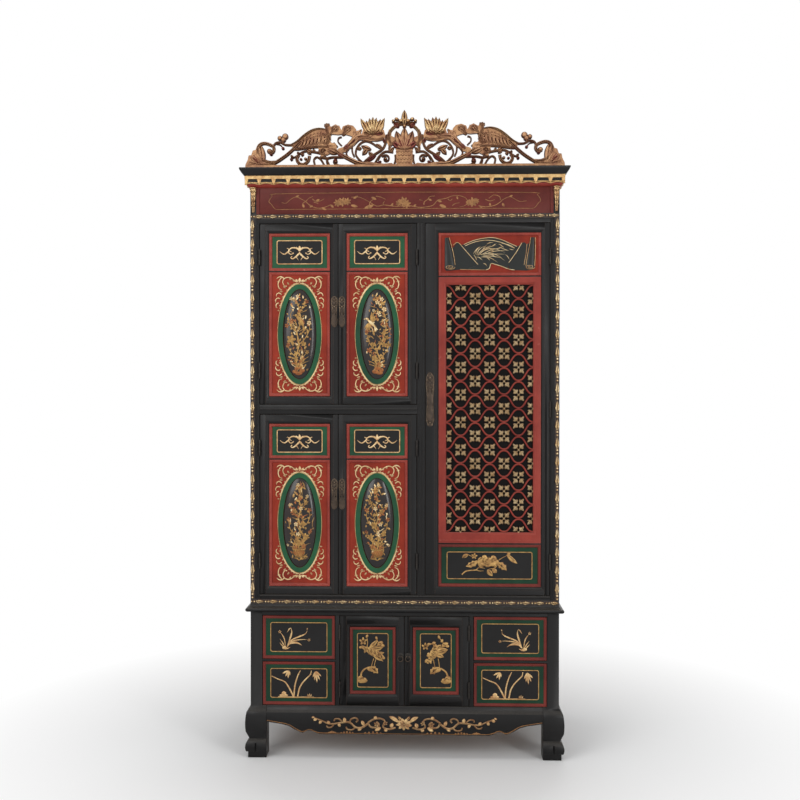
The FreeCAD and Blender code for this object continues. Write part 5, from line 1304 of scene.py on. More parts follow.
def standing_bird(canvas):
    """The picture on the right door: a bird with a spread wing and its head up."""
    for u, v, w, h in ((756, 520, 32, 17), (766, 502, 19, 18), (744, 512, 17, 13)):
        canvas.blob(w, h, (u, v), rise=2.0)
    canvas.line("stem", 13, ((768, 498), (756, 464), (734, 446), (706, 434), (684, 434)))
    canvas.leaf(34, (704, 436), (658, 476), 16, 2.2, lobes=3)
    canvas.leaf(17, (724, 442), (696, 464), 10, 2.0)
    canvas.line("even", 6, ((686, 434), (682, 408), (676, 380)))
    canvas.line("even", 6, ((714, 438), (712, 408), (706, 376)))
    canvas.line("petal", 50, ((684, 284), (688, 312), (680, 346), (658, 380), (640, 408)), rise=3.0,
                section=VEINED)
    canvas.blob(15, 13, (680, 282), 40, 3.6)
    canvas.leaf(8, (670, 282), (652, 292))
    for foot, tip, width, rise in STANDING_PLUMES:
        canvas.leaf(width, foot, tip, -12, rise)
    for row in range(4):
        for column in range(2):
            canvas.blob(7.0, 6.0, (682 - 7 * row + 13 * column, 318 + 19 * row + 5 * column), -30, 3.9)
    canvas.flower(25, (628, 302), 5, 20, 2.4, 2)
    canvas.line("stem", 8, ((716, 306), (742, 300), (736, 276), (714, 248)))
    for u, v, w, h, angle in ((712, 244, 14, 9, 110), (748, 290, 24, 15, 25), (764, 300, 13, 10, 0),
                              (730, 266, 13, 9, 60), (648, 288, 12, 9, 30)):
        canvas.blob(w, h, (u, v), angle, 2.6)


def marks(node, surface, grid, x, z, body, width, rise, lines):
    """Thin dark lines over a picture: the parting of feathers and petals."""
    relief = Relief(flat(surface), rise, 0.2, BRUSHED, 2)
    canvas = Canvas(relief, grid, x, z)
    for line in lines:
        canvas.line("blade", width, line)
    relief.carved(node + "_dark_lines", UMBER, body)


LEFT_MARKS = (
    ((244, 310), (252, 322), (246, 334)), ((262, 316), (272, 330), (266, 346)),
    ((284, 318), (294, 336), (288, 354)), ((304, 326), (316, 344), (310, 364)),
    ((326, 336), (338, 354), (334, 374)), ((344, 350), (354, 366), (352, 384)),
    ((292, 312), (330, 306), (362, 304)), ((298, 322), (334, 318), (360, 314)),
    ((294, 300), (310, 284), (326, 268)), ((322, 362), (340, 376), (360, 390)),
    ((226, 262), (240, 274), (252, 286)), ((252, 262), (240, 274), (226, 286)),
    ((292, 440), (308, 452), (326, 468)), ((306, 438), (314, 452), (310, 466)),
    ((218, 512), (232, 500), (248, 512)), ((336, 282), (348, 288), (358, 296)))
RIGHT_MARKS = (
    ((672, 300), (686, 308), (698, 302)), ((668, 320), (684, 328), (700, 322)),
    ((662, 340), (676, 350), (694, 344)), ((652, 358), (668, 368), (684, 364)),
    ((642, 376), (656, 386), (670, 384)), ((638, 392), (648, 400), (658, 402)),
    ((706, 342), (734, 334), (760, 326)), ((708, 330), (732, 322), (754, 318)),
    ((704, 354), (722, 358), (738, 366)), ((704, 316), (712, 304), (724, 296)),
    ((616, 292), (628, 302), (640, 314)), ((640, 290), (628, 302), (616, 314)),
    ((698, 440), (682, 454), (664, 470)), ((684, 440), (676, 454), (682, 466)),
    ((744, 512), (760, 500), (776, 512)), ((736, 286), (748, 292), (762, 294)))


def base_doors():
    for side, grid, draw, lines in (("left", (155, 185, 442, 600), perched_bird, LEFT_MARKS),
                                    ("right", (552, 183, 832, 600), standing_bird, RIGHT_MARKS)):
        node = f"base_{side}_door_panel"
        x, y, z = span(node)
        body = f"base_{side}_door"
        red, surface = framed_board(node, x, z, body, field=24)
        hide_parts(node)
        picture(node, surface, draw, grid, x, z, body, GOLD_LOW)
        marks(node, surface, grid, x, z, body, 5, 4.6, lines)


base_doors()


PEONY_PETALS = ((600, 300, 60, 44, 60), (655, 268, 52, 46, 95), (715, 300, 58, 48, 85),
                (780, 272, 54, 44, 120), (812, 318, 46, 40, 30), (630, 352, 60, 34, 20),
                (700, 356, 56, 36, 0), (770, 350, 60, 34, -20))


def peony_branch(canvas):
    """The picture at the foot of the tall door."""
    canvas.line("stem", 22, ((345, 492), (388, 452), (440, 436), (538, 426), (572, 396), (640, 400)))
    canvas.line("stem", 14, ((538, 428), (590, 440), (640, 438)))
    canvas.line("stem", 12, ((850, 290), (900, 256), (950, 232), (985, 200)))
    canvas.line("stem", 12, ((425, 214), (470, 236), (510, 262)))
    canvas.leaf(48, (430, 216), (350, 262), 20)
    canvas.leaf(66, (560, 308), (398, 378), -20, 2.2, lobes=3)
    canvas.leaf(60, (700, 420), (768, 508), 20, 2.2)
    canvas.leaf(58, (760, 420), (820, 470), -30, 2.2)
    canvas.leaf(74, (830, 330), (958, 436), -24, 2.4, lobes=3)
    canvas.leaf(52, (965, 215), (1106, 334), 16, 2.2)
    canvas.leaf(34, (960, 214), (1010, 196))
    canvas.flower(46, (516, 236), 5, 10, 2.4, 2)
    for number, (u, v, w, h, angle) in enumerate(PEONY_PETALS):
        canvas.blob(w, h, (u, v), angle, 2.6 + 0.25 * (number % 3))
    for points in (((560, 335), (596, 388), (662, 402)), ((716, 410), (786, 402), (836, 356)),
                   ((640, 300), (668, 330), (700, 320)), ((740, 320), (770, 300), (800, 300))):
        canvas.line("petal", 22, points, 3.6)


PEONY_MARKS = (
    ((566, 296), (600, 268), (640, 262)), ((628, 318), (640, 268), (690, 246)),
    ((690, 300), (706, 256), (752, 250)), ((752, 310), (768, 262), (812, 262)),
    ((640, 330), (690, 350), (742, 334)), ((590, 330), (622, 366), (690, 384)),
    ((720, 384), (776, 376), (820, 340)), ((420, 366), (470, 340), (530, 318)),
    ((456, 330), (470, 342), (462, 364)), ((500, 316), (510, 330), (506, 352)),
    ((848, 344), (890, 372), (936, 420)), ((884, 348), (890, 372), (870, 396)),
    ((716, 432), (736, 462), (756, 494)), ((982, 232), (1030, 264), (1084, 318)),
    ((360, 256), (390, 240), (420, 224)), ((604, 240), (620, 252), (612, 280)),
    ((664, 300), (676, 286), (700, 284)), ((730, 296), (740, 284), (760, 286)),
    ((786, 300), (800, 286), (826, 300)))


def bottom_panel():
    node = "tall_bottom_panel_boards"
    x, y, z = span(node)
    red, surface = framed_board(node, x, z, "tall_door", field=28)
    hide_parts(node)
    grid = (25, 75, 1420, 655)
    picture(node, surface, peony_branch, grid, x, z, "tall_door", GOLD_LOW)
    marks(node, surface, grid, x, z, "tall_door", 8, 5.2, PEONY_MARKS)


bottom_panel()


# The carved scroll at the head of the tall door


def sheet(name, grid, x, z, points, rise):
    """A flat sheet in the outline of points on the ground of the scroll panel, with a soft edge."""
    relief = Relief(flat(FACE), depth=1.0)
    Canvas(relief, grid, x, z).mass(points, rise)
    relief.piece(name, SHEET, "tall_door", "black_lacquer", smooth=0, bevel=0.8)


SCROLL_SHEETS = {
    "fold_left": ([(240, 290), (285, 226), (322, 238), (452, 392), (578, 540), (560, 602), (330, 606),
                   (140, 622), (116, 590), (150, 400), (215, 300)], 1.6),
    "fold_right": ([(1176, 240), (1212, 224), (1252, 252), (1290, 236), (1330, 330), (1350, 560), (1330, 610),
                    (1240, 622), (1080, 616), (1000, 600), (1000, 510)], 1.6),
    "arch": ([(330, 262), (385, 256), (500, 206), (620, 176), (770, 162), (900, 190), (1000, 236),
              (1108, 286), (1168, 262), (1100, 376), (1004, 514), (990, 596), (900, 562), (820, 536),
              (758, 524), (736, 588), (690, 610), (420, 604), (576, 540), (452, 396)], 3.0)}
SCROLL_RIMS = (
    ((385, 255), (500, 206), (620, 175), (770, 160), (900, 190), (1000, 235), (1110, 285)),
    ((400, 275), (510, 228), (640, 200), (760, 200), (880, 224), (980, 262), (1080, 310)),
    ((322, 240), (452, 392), (577, 536)), ((1180, 236), (1100, 372), (1002, 510)),
    ((690, 611), (735, 588), (758, 523), (820, 536), (900, 561), (1000, 600), (1080, 614)))
SCROLL_BLADES = (
    ((575, 412), (640, 350), (740, 315), (840, 325), (950, 370)),
    ((600, 400), (700, 380), (800, 390), (880, 430), (950, 490)), ((515, 382), (560, 320), (600, 290)),
    ((770, 282), (800, 262), (830, 240)), ((900, 240), (1000, 262), (1080, 302)),
    ((900, 310), (950, 326), (1000, 346)), ((760, 400), (790, 412), (820, 440)),
    ((700, 440), (722, 456), (740, 480)), ((560, 430), (600, 440), (640, 480)),
    ((640, 352), (660, 300), (700, 262)), ((740, 315), (770, 340), (812, 352)),
    ((520, 400), (548, 440), (560, 480)), ((840, 326), (880, 300), (930, 290)),
    ((570, 402), (640, 330), (756, 266)), ((600, 390), (700, 310), (830, 262)),
    ((620, 400), (760, 332), (930, 300)), ((640, 405), (800, 352), (985, 338)),
    ((650, 415), (800, 392), (950, 392)), ((640, 425), (780, 420), (900, 446)),
    ((620, 430), (740, 440), (850, 506)), ((560, 400), (590, 330), (660, 280)),
    ((545, 395), (560, 330), (610, 286)), ((700, 250), (740, 232), (790, 228)),
    ((860, 250), (900, 270), (930, 300)), ((960, 400), (990, 430), (1010, 470)),
    ((1010, 320), (1040, 330), (1070, 330)), ((650, 520), (680, 530), (700, 560)))


def scroll_panel():
    """An opened scroll in black with gold lines: two rolls, their folds and the arch between them."""
    node = "tall_scroll_panel"
    x, y, z = span(node)
    red = red_frame(node, x, z, "tall_door")
    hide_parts(node)
    panel_board(node + "_ground", x, z, "tall_door", RED_FIELD, "red_lacquer")
    grid = (35, 95, 1445, 690)
    rolls = Relief(flat(FACE + 0.3), 5.2, 0.6, ROUND, 3)
    canvas = Canvas(rolls, grid, x, z)
    canvas.line("wedge", 150, ((146, 158), (160, 280), (176, 420), (190, 580)))
    canvas.line("wedge", 134, ((1334, 158), (1322, 280), (1308, 420), (1294, 580)))
    rolls.carved(node + "_rolls", SHEET, "tall_door", "black_lacquer")
    for name, (points, rise) in SCROLL_SHEETS.items():
        sheet(f"{node}_{name}", grid, x, z, points, rise)
    gold = Relief(flat(FACE - 2.8), 1.3, 1.2, ROUND, 3)
    canvas = Canvas(gold, grid, x, z)
    for points in SCROLL_RIMS:
        canvas.line("even", 10, points)
    for points in SCROLL_BLADES:
        canvas.line("blade", 10, points)
    gold.carved(node + "_gold_lines", GOLD_PALE, "tall_door")
    edges = Relief(flat(FACE - 1.4), 1.4, 1.4, ROUND, 3)
    canvas = Canvas(edges, grid, x, z)
    for points in (((1252, 252), (1240, 380), (1212, 540)), ((235, 266), (285, 225), (322, 239))):
        canvas.line("even", 8, points)
    canvas.line("even", 8, ((330, 602), (480, 606), (690, 611)))
    edges.carved(node + "_gold_edges", GOLD, "tall_door")
    ends = Relief(flat(FACE - 3.6), 1.6, 3.0, ROUND, 3)
    canvas = Canvas(ends, grid, x, z)
    for u, v in ((192, 572), (1294, 572)):
        turn = [(u + 70 * (1 - 0.8 * t) * math.cos(TAU * 1.8 * t),
                 v + 32 * (1 - 0.8 * t) * math.sin(TAU * 1.8 * t))
                for t in np.linspace(0, 1, 19)]
        canvas.line("even", 8, turn, steps=2)
    canvas.line("even", 9, ((182, 160), (214, 280), (244, 410), (262, 540)))
    canvas.line("even", 9, ((1364, 160), (1366, 280), (1364, 410), (1358, 560)))
    canvas.line("even", 8, ((1302, 160), (1284, 280), (1258, 410), (1236, 560)))
    ends.carved(node + "_roll_lines", GOLD, "tall_door")


scroll_panel()


# The crest: a pierced carving, drawn on the right half and mirrored

CREST_MASSES = (
    (((424, 345), (780, 330), (800, 400), (880, 400), (960, 440), (1010, 540), (1100, 610), (1210, 640),
      (1190, 720), (1080, 690), (960, 610), (900, 560), (850, 506), (760, 500), (640, 520), (540, 524),
      (420, 500), (396, 440)), 5.0),
    (((880, 404), (900, 330), (950, 275), (1040, 256), (1125, 285), (1150, 345), (1180, 285), (1250, 250),
      (1330, 290), (1360, 250), (1410, 240), (1424, 330), (1480, 350), (1500, 420), (1400, 430), (1330, 405),
      (1200, 415), (1110, 405), (1010, 430), (960, 450)), 5.4),
    (((1334, 400), (1500, 380), (1560, 600), (1500, 770), (1400, 742), (1300, 694), (1230, 644), (1240, 560),
      (1330, 540), (1342, 470)), 4.6),
    (((284, 330), (336, 340), (372, 430), (380, 520), (340, 620), (300, 600), (210, 560), (230, 470),
      (300, 440)), 4.4),
    (((240, 908), (290, 872), (420, 884), (560, 866), (700, 850), (820, 866), (940, 908)), 5.0))
CREST_STEMS = (
    ("petal", 120, ((540, 400), (700, 450), (850, 455), (960, 540), (1080, 640), (1190, 700)), 10.5),
    ("even", 50, ((1392, 236), (1404, 330), (1372, 420), (1352, 500)), 10),
    ("even", 24, ((1146, 450), (1200, 470), (1206, 530), (1146, 592)), 7),
    ("stem", 74,
     ((480, 908), (760, 892), (900, 856), (1030, 796), (1150, 734), (1260, 656), (1340, 590), (1410, 560)),
     10.5),
    ("even", 40, ((372, 420), (398, 560), (450, 650), (560, 720), (680, 790), (770, 866)), 9),
    ("even", 32,
     ((536, 612), (640, 545), (740, 520), (830, 560), (890, 640), (905, 730), (860, 800), (790, 860)), 8),
    ("even", 28, ((962, 556), (966, 680), (930, 772)), 7),
    ("even", 28, ((1000, 610), (1066, 700), (1040, 770), (985, 826)), 8),
    ("even", 42, ((332, 380), (346, 480), (306, 560), (330, 640), (300, 700)), 9),
    ("even", 34, ((262, 700), (400, 690), (500, 760), (570, 862)), 9),
    ("even", 36, ((1120, 776), (1300, 774), (1400, 790), (1520, 772)), 9),
    ("even", 30, ((1380, 908), (1402, 840), (1380, 790)), 8),
    ("even", 40, ((424, 470), (520, 500), (640, 486), (720, 470)), 8.5),
    ("even", 36, ((190, 480), (262, 560), (336, 604)), 8),
    ("even", 30, ((230, 740), (226, 820), (250, 905)), 7),
    ("petal", 64, ((1500, 400), (1450, 410), (1400, 470), (1372, 560)), 10))
CREST_SCROLLS = (
    (52, (1036, 334), 330, 1.5, 42, 1, ((1130, 430), (1120, 400))),
    (52, (1250, 332), 330, 1.5, 42, 1, ((1330, 420), (1330, 390))), (74, (1432, 490), 100, 1.7, 50, 1, ()),
    (60, (390, 806), 40, 1.3, 36, 1, ((520, 830), (480, 750))),
    (39, (1244, 848), 250, 1.2, 30, 1, ((1160, 900), (1200, 900))), (37, (1466, 676), 180, 1.2, 30, -1, ()))
CREST_LEAVES = (
    (96, (960, 530), (800, 330), 3), (84, (860, 470), (936, 330), 0), (84, (720, 450), (600, 400), 0),
    (70, (640, 660), (816, 586), 0), (66, (706, 640), (800, 740), 0), (100, (1410, 600), (1206, 606), 3),
    (76, (1400, 660), (1226, 732), 0), (60, (1130, 430), (950, 290), 0), (64, (1320, 380), (1180, 270), 0),
    (56, (450, 640), (560, 560), 0), (50, (330, 700), (240, 620), 0), (54, (600, 760), (690, 690), 0),
    (44, (1396, 300), (1440, 236), 0), (44, (1392, 290), (1352, 232), 0), (52, (880, 640), (800, 640), 0))
CREST_RED_LEAVES = ((64, (1010, 560), (1130, 660)), (56, (560, 740), (740, 850)),
                    (60, (430, 400), (620, 400)), (50, (1230, 800), (1300, 860)),
                    (48, (470, 840), (560, 900)), (46, (900, 500), (1000, 580)),
                    (52, (1100, 780), (1230, 700)), (44, (390, 560), (440, 470)))


def crest_scrolls(brown, red):
    """The masses, stems, scrolls and leaves between the middle and the wing."""
    for points, rise in CREST_MASSES:
        brown.mass(points, rise, rise / 3)
    for kind, width, points, rise in CREST_STEMS:
        brown.line(kind, width, points, rise)
    for radius, place, start, turns, width, direction, tail in CREST_SCROLLS:
        brown.spiral(radius, place, start, turns, width, direction, tail, 9.5)
    for width, foot, tip, lobes in CREST_LEAVES:
        brown.leaf(width, foot, tip, 14, 9.5, lobes=lobes)
    for width, foot, tip in CREST_RED_LEAVES:
        red.leaf(width, foot, tip, 12, 10.6)


CREST_SPIKES = ((92, ((412, 226), (404, 150), (476, 168), (548, 142), (608, 128), (668, 148), (726, 186),
                      (820, 152), (780, 250))),
                (84, ((440, 290), (500, 232), (566, 204), (640, 206), (706, 240), (766, 300))),
                (70, ((480, 340), (548, 290), (612, 276), (676, 296), (730, 344))))


def crest_flowers(bright):
    """A basket of spiky flowers."""
    for row, (width, tips) in enumerate(CREST_SPIKES):
        for tip in tips:
            bright.leaf(width, (600 + (tip[0] - 600) * 0.25, 424 - 10 * row), tip, 8, 9.0 + 1.2 * row)
    for u in (486, 546, 606, 666, 716):
        bright.blob(26, 22, (u, 362 + 10 * abs(u - 600) / 100), rise=12.3)
    bright.line("even", 34, ((440, 392), (600, 418), (760, 386)), 10.5)


AXIS = 73.5  # where the mirror line lies on the crest's grid


def crest_lotus(near, on_axis):
    """The lotus and its basket in the middle."""
    brown, bright = near["brown"], near["bright"]
    bright.line("petal", 60, ((76, 262), (190, 270), (286, 330), (326, 420), (300, 530)), 11.0)
    for width, foot, tip, tone in (
            (110, (100, 650), (212, 352), "brown"), (84, (110, 650), (292, 520), "red"),
            (64, (160, 300), (262, 232), "red"), (64, (84, 640), (150, 430), "red")):
        near[tone].leaf(width, foot, tip, 10, 11.0)
    bright.blob(46, 36, (136, 200), rise=11.2)
    bright.blob(40, 32, (206, 172), 20, 10.6)
    bright.blob(32, 26, (262, 200), 40, 10.2)
    bright.line("petal", 44, ((100, 250), (190, 236), (286, 226)), 11.6)
    for row in range(4):
        for column in range(1, 3):
            brown.blob(31, 27, (AXIS + 56 * (column - 0.5 * (row % 2)), 690 + 58 * row),
                       rise=10.6 - 0.3 * row)
    brown.line("even", 34, ((78, 652), (150, 648), (222, 636)), 11.0)
    brown.mass(((AXIS, 908), (214, 908), (216, 640), (150, 560), (AXIS, 540)), 7.0, 1.0)
    for width, foot, tip, tone in (
            (140, (AXIS, 650), (AXIS, 296), "brown"), (96, (AXIS, 264), (AXIS, 22), "bright")):
        on_axis[tone].leaf(width, foot, tip, 0, 11.4)
    for u, v, w, h, rise, tone in ((AXIS, 286, 36, 36, 12.8, "bright"), (AXIS, 190, 30, 34, 13.4, "bright"),
                                   (AXIS, 690, 37, 32, 10.8, "brown"), (AXIS, 806, 37, 32, 10.2, "brown")):
        on_axis[tone].blob(w, h, (u, v), rise=rise)


WING_MASSES = (
    (((-90, 436), (-20, 350), (60, 322), (140, 318), (250, 350), (380, 430), (500, 520), (610, 576),
      (560, 628), (470, 606), (400, 630), (300, 622), (100, 606), (-20, 624), (-80, 560)), 3.9),
    (((850, 905), (980, 850), (1090, 800), (1150, 720), (1165, 640), (1140, 560), (1190, 590), (1215, 650),
      (1262, 662), (1290, 740), (1336, 742), (1350, 810), (1388, 880), (1390, 905)), 5.2))
WING_LEAVES = ((44, (120, 704), (84, 640)), (44, (190, 692), (222, 636)), (50, (330, 676), (250, 730)),
               (40, (470, 724), (486, 676)), (40, (560, 776), (612, 734)), (54, (60, 720), (10, 660)),
               (50, (400, 690), (420, 760)), (60, (240, 690), (330, 640)))


def crest_wing(brown, bright, red):
    """The wing, the scroll at its end and the leaf at the crest's end."""
    for points, rise in WING_MASSES:
        brown.mass(points, rise, rise / 3)
    bright.line("petal", 56, ((-90, 430), (0, 336), (120, 318), (250, 350), (380, 430), (500, 520),
                              (620, 572), (720, 566)), 11.5)
    for k in range(7):
        head = (26 + 58 * k, 352 + 3 * k * k)
        foot = (46 + 68 * k, 606 + 6 * k)
        brown.line("petal", 84, (head, ((head[0] + foot[0]) / 2 - 20, (head[1] + foot[1]) / 2), foot),
                   9.6 + 0.4 * (k % 2))
    brown.line("even", 40, ((-60, 610), (120, 604), (300, 616), (470, 640), (560, 640)), 9)
    brown.line("petal", 90, ((-70, 470), (40, 440), (200, 450), (360, 520), (470, 600)), 8)
    brown.line("even", 50,
               ((430, 520), (540, 620), (660, 720), (780, 800), (900, 864), (1040, 890), (1200, 892)), 10)
    brown.line("even", 34, ((560, 575), (700, 570), (790, 530), (870, 545), (908, 610), (900, 672)), 8.5)
    brown.line("even", 50, ((1000, 676), (940, 700), (896, 650), (920, 590), (1040, 545), (1130, 560),
                            (1178, 630), (1150, 730), (1090, 800), (990, 846), (850, 846)), 10)
    brown.blob(40, 36, (976, 668), rise=11)
    for u, v, size in ((704, 436, 48), (796, 462, 37), (736, 490, 42)):
        brown.blob(size, size, (u, v), rise=9.5)
    brown.line("even", 34, ((742, 476), (744, 566)), 8)
    red.blob(24, 24, (742, 626), rise=8)
    brown.line("even", 20, ((742, 622), (790, 572), (862, 556)), 7)
    for width, foot, tip in ((100, (1090, 880), (1150, 548)), (100, (1110, 884), (1248, 668)),
                             (92, (1130, 888), (1334, 736)), (84, (1160, 892), (1374, 862)),
                             (60, (1100, 830), (1200, 600))):
        brown.leaf(width, foot, tip, -10, 9.8)
    red.leaf(60, (1150, 860), (1270, 720), 10, 10.6)
    red.leaf(50, (930, 740), (960, 690), 10, 9)
    brown.line("even", 56, ((880, 896), (1100, 900), (1376, 902)), 9)
    brown.line("stem", 40,
               ((-10, 744), (130, 700), (250, 682), (340, 672), (430, 700), (520, 760), (606, 792)), 8.5)
    for width, foot, tip in WING_LEAVES:
        brown.leaf(width, foot, tip, 12, 8.5)
    red.leaf(44, (590, 780), (606, 832), 10, 8)
    brown.line("even", 32, ((26, 905), (80, 820), (150, 770), (206, 812), (190, 905)), 8)
    brown.line("even", 50, ((284, 752), (306, 830), (388, 886), (470, 862), (502, 792), (470, 736)), 9)
    brown.blob(24, 22, (352, 796), rise=9)
    red.blob(22, 20, (432, 802), rise=9)
    brown.line("even", 30, ((-60, 905), (-30, 840), (20, 770)), 8)


def crest():
    """The crest in three tones: half of it is drawn and mirrored, and the forms on its axis are added."""
    x, y, z = span("crest")
    middle = (y[0] + y[1]) / 2
    base, top = z[0] + 9, z[0] + 206.4
    tones = {}
    for tone, rise in (("brown", 10.0), ("bright", 11.3), ("red", 10.6)):
        tones[tone] = Relief(flat(middle), rise, 9.0, VEINED, 3)
    axis = {tone: Relief(flat(middle), relief.rise, 9.0, VEINED, 3) for tone, relief in tones.items()}
    for relief in (*tones.values(), *axis.values()):
        relief.stagger = 0.12
    grid, near_x, far_x, tall = (0, 0, 1500, 925), (-14.7, 285.3), (268.7, 566.7), (base, top)
    near = {tone: Canvas(relief, grid, near_x, tall) for tone, relief in tones.items()}
    on_axis = {tone: Canvas(relief, grid, near_x, tall) for tone, relief in axis.items()}
    far = {tone: Canvas(relief, grid, far_x, tall) for tone, relief in tones.items()}
    for canvas in (near["brown"], far["brown"], near["red"], far["red"]):
        canvas.scale *= 1.2
    crest_scrolls(near["brown"], near["red"])
    crest_flowers(near["bright"])
    crest_lotus(near, on_axis)
    crest_wing(**far)
    for tone, material in (("brown", GOLD_CREST), ("bright", GOLD), ("red", CREST_RED)):
        tones[tone].mirrored(0)
        tones[tone].add(axis[tone].points, axis[tone].faces)
        piece = tones[tone].carved(f"crest_{tone}", material, "case", "crest_gilt")
        if tone == "brown":
            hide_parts("crest")
    rail = Mesh()
    box_mesh(rail, x, (middle - 9, middle + 9), (z[0], z[0] + 15))
    rail.piece("crest_rail", GOLD_CREST, "case", "crest_gilt", smooth=0, bevel=1.5)


crest()


# The frieze, the lappets and the gilt mouldings

FRIEZE_VINES_LEFT = (
    ((1440, 410), (1360, 412), (1270, 400), (1206, 410), (1130, 366), (1050, 330), (980, 330)),
    ((800, 396), (740, 420), (680, 425), (620, 404), (580, 368), (540, 345), (490, 326), (440, 350),
     (404, 380), (366, 376)),
    ((560, 408), (552, 384), (582, 362), (606, 338), (642, 322)), ((1140, 410), (1150, 370), (1190, 340)),
    ((1198, 322), (1240, 330), (1284, 352)), ((1270, 402), (1262, 384), (1276, 370)),
    ((636, 344), (668, 366), (706, 362), (742, 344)), ((650, 372), (690, 384)))
FRIEZE_VINES_RIGHT = (
    ((80, 396), (160, 412), (226, 410), (292, 394), (332, 350), (400, 336), (470, 312), (546, 318),
     (590, 350), (576, 396), (520, 412)),
    ((210, 390), (212, 366), (240, 346), (262, 320), (306, 314)),
    ((690, 400), (752, 412), (832, 398), (880, 370), (902, 350), (960, 324), (1004, 342), (1052, 366),
     (1112, 360)),
    ((884, 352), (872, 320), (822, 308), (780, 338)), ((750, 346), (792, 360), (834, 348)),
    ((420, 340), (440, 356), (460, 340)), ((460, 400), (480, 384), (522, 374)), ((170, 346), (196, 352)))
FRIEZE_LEAVES_LEFT = (
    ((1100, 426), (1180, 396), 34), ((700, 350), (664, 366), 20), ((552, 390), (566, 420), 22),
    ((1160, 330), (1204, 350), 26), ((720, 420), (760, 440), 20), ((1000, 340), (1040, 316), 22),
    ((490, 326), (520, 310), 18), ((1330, 410), (1350, 384), 20), ((800, 396), (826, 420), 22),
    ((980, 400), (1040, 412), 26), ((640, 404), (612, 420), 18))
FRIEZE_LEAVES_RIGHT = (((350, 392), (408, 412), 32), ((900, 380), (918, 410), 22),
                       ((330, 350), (370, 364), 24), ((790, 402), (788, 376), 20),
                       ((960, 324), (990, 310), 18), ((250, 340), (280, 352), 20),
                       ((500, 318), (510, 344), 18), ((120, 404), (140, 384), 20),
                       ((700, 404), (724, 420), 20))


def frieze():
    """The painted vine on the frieze, and the lacquer on the ends of its panel."""
    x, y, z = span("frieze_panel")
    relief = Relief(flat(y[0]), 0.8, 0.3, BRUSHED, 3)
    left_grid, right_grid = (167, 245, 1449, 480), (37, 236, 1320, 470)
    left = Canvas(relief, left_grid, (x[0], 0), z)
    right = Canvas(relief, right_grid, (0, x[1]), z)
    for canvas in (left, Canvas(relief, left_grid, (0, x[1]), z, True)):
        canvas.line("even", 5, ((1449, 288), (900, 292), (310, 298), (284, 316), (264, 338), (252, 368),
                                (272, 388), (292, 416)))
        canvas.line("even", 5, ((1449, 432), (900, 434), (322, 436)))
        canvas.line("stem", 5, ((292, 416), (306, 430), (322, 436)))
    for canvas, lines in ((left, FRIEZE_VINES_LEFT), (right, FRIEZE_VINES_RIGHT)):
        for line in lines:
            canvas.line("stem", 7, line)
    for canvas, places in (
            (left, ((900, 372, 42), (860, 380, 36), (944, 368, 36), (1440, 372, 46), (1400, 384, 30))),
            (right, ((56, 384, 42), (640, 368, 44), (604, 376, 28), (672, 360, 26)))):
        for u, v, radius in places:
            canvas.flower(radius, (u, v), 7, u % 40, 1.2, 3)
    for canvas, leaves in ((left, FRIEZE_LEAVES_LEFT), (right, FRIEZE_LEAVES_RIGHT)):
        for foot, tip, width in leaves:
            canvas.leaf(width * 0.8, foot, tip, 16, 1.0)
    relief.carved("frieze_painting", GOLD_DULL, "case")
    returns = Mesh()
    for ends in ((-506.5, -495.5), (495.5, 506.5)):
        box_mesh(returns, ends, (-234.2, -231), (1859, 1950))
    returns.piece("frieze_returns", RED_DARK, "case", "frieze_lacquer", smooth=0, bevel=0.4, segments=1)


frieze()


def lappet_run(length, top, pitch):
    """Fillet, pierced posts and two rows of draped arches, from -length/2 to length/2, on the plane y = 0."""
    relief = Relief(flat(0), 4.6, 0.4, ROUND, 2)
    count = max(1, round(length / pitch))
    step = length / count
    box_mesh(relief, (-length / 2, length / 2), (-4.8, 0), (top - 10.5, top))
    for number in range(count + 1):
        x = -length / 2 + step * number
        if 0 < number < count:
            relief.stroke([(x, top - 7), (x, top - 14), (x, top - 22), (x, top - 28.5)],
                          [11.5, 7.0, 5.0, 1.6], 4.2)
        else:
            inward = 6 if number == 0 else -6
            relief.stroke([(x + inward, top - 7), (x + inward, top - 18), (x + inward * 0.6, top - 27)],
                          [6, 6, 3], 4.2)
        if number < count:
            for drop, high, half, rise in ((23.0, 1.0, 1.5, 3.6), (28.0, 4.0, 1.6, 4.6)):
                relief.stroke([(x, top - drop - high * 0.3), (x + step * 0.18, top - drop + high * 0.3),
                               (x + step / 2, top - drop + high), (x + step * 0.82, top - drop + high * 0.3),
                               (x + step, top - drop - high * 0.3)], half, rise)
    return relief


def lappets():
    x, y, z = span("lappet_band")
    face_x, face_y = x[1] - 5, y[0] + 5
    band = Mesh()
    front = lappet_run(2 * x[1], z[1], 49.4)
    band.add([(p[0], face_y + p[1], p[2]) for p in front.points], front.faces)
    depth = y[1] - face_y
    end = lappet_run(depth, z[1], 49.4)
    centre = (y[1] + face_y) / 2
    for side in (1, -1):
        band.add([(side * (face_x - p[1]), side * (p[0] + side * centre), p[2]) for p in end.points],
                 end.faces)
    piece = band.piece("lappets", GOLD_BAND, "case", "gilt", smooth=50)
    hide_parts("lappet_band")
    dark = Mesh()
    box_mesh(dark, (-face_x - 0.4, face_x + 0.4), (face_y - 0.7, face_y + 0.5), (z[1] - 27, z[1] - 8))
    for side in (1, -1):
        box_mesh(dark, sorted((side * (face_x - 0.5), side * (face_x + 0.7))), (face_y, y[1]),
                 (z[1] - 27, z[1] - 8))
    dark.piece("lappet_shadow_strip", BLACK, "case", "black_lacquer", smooth=0)


lappets()


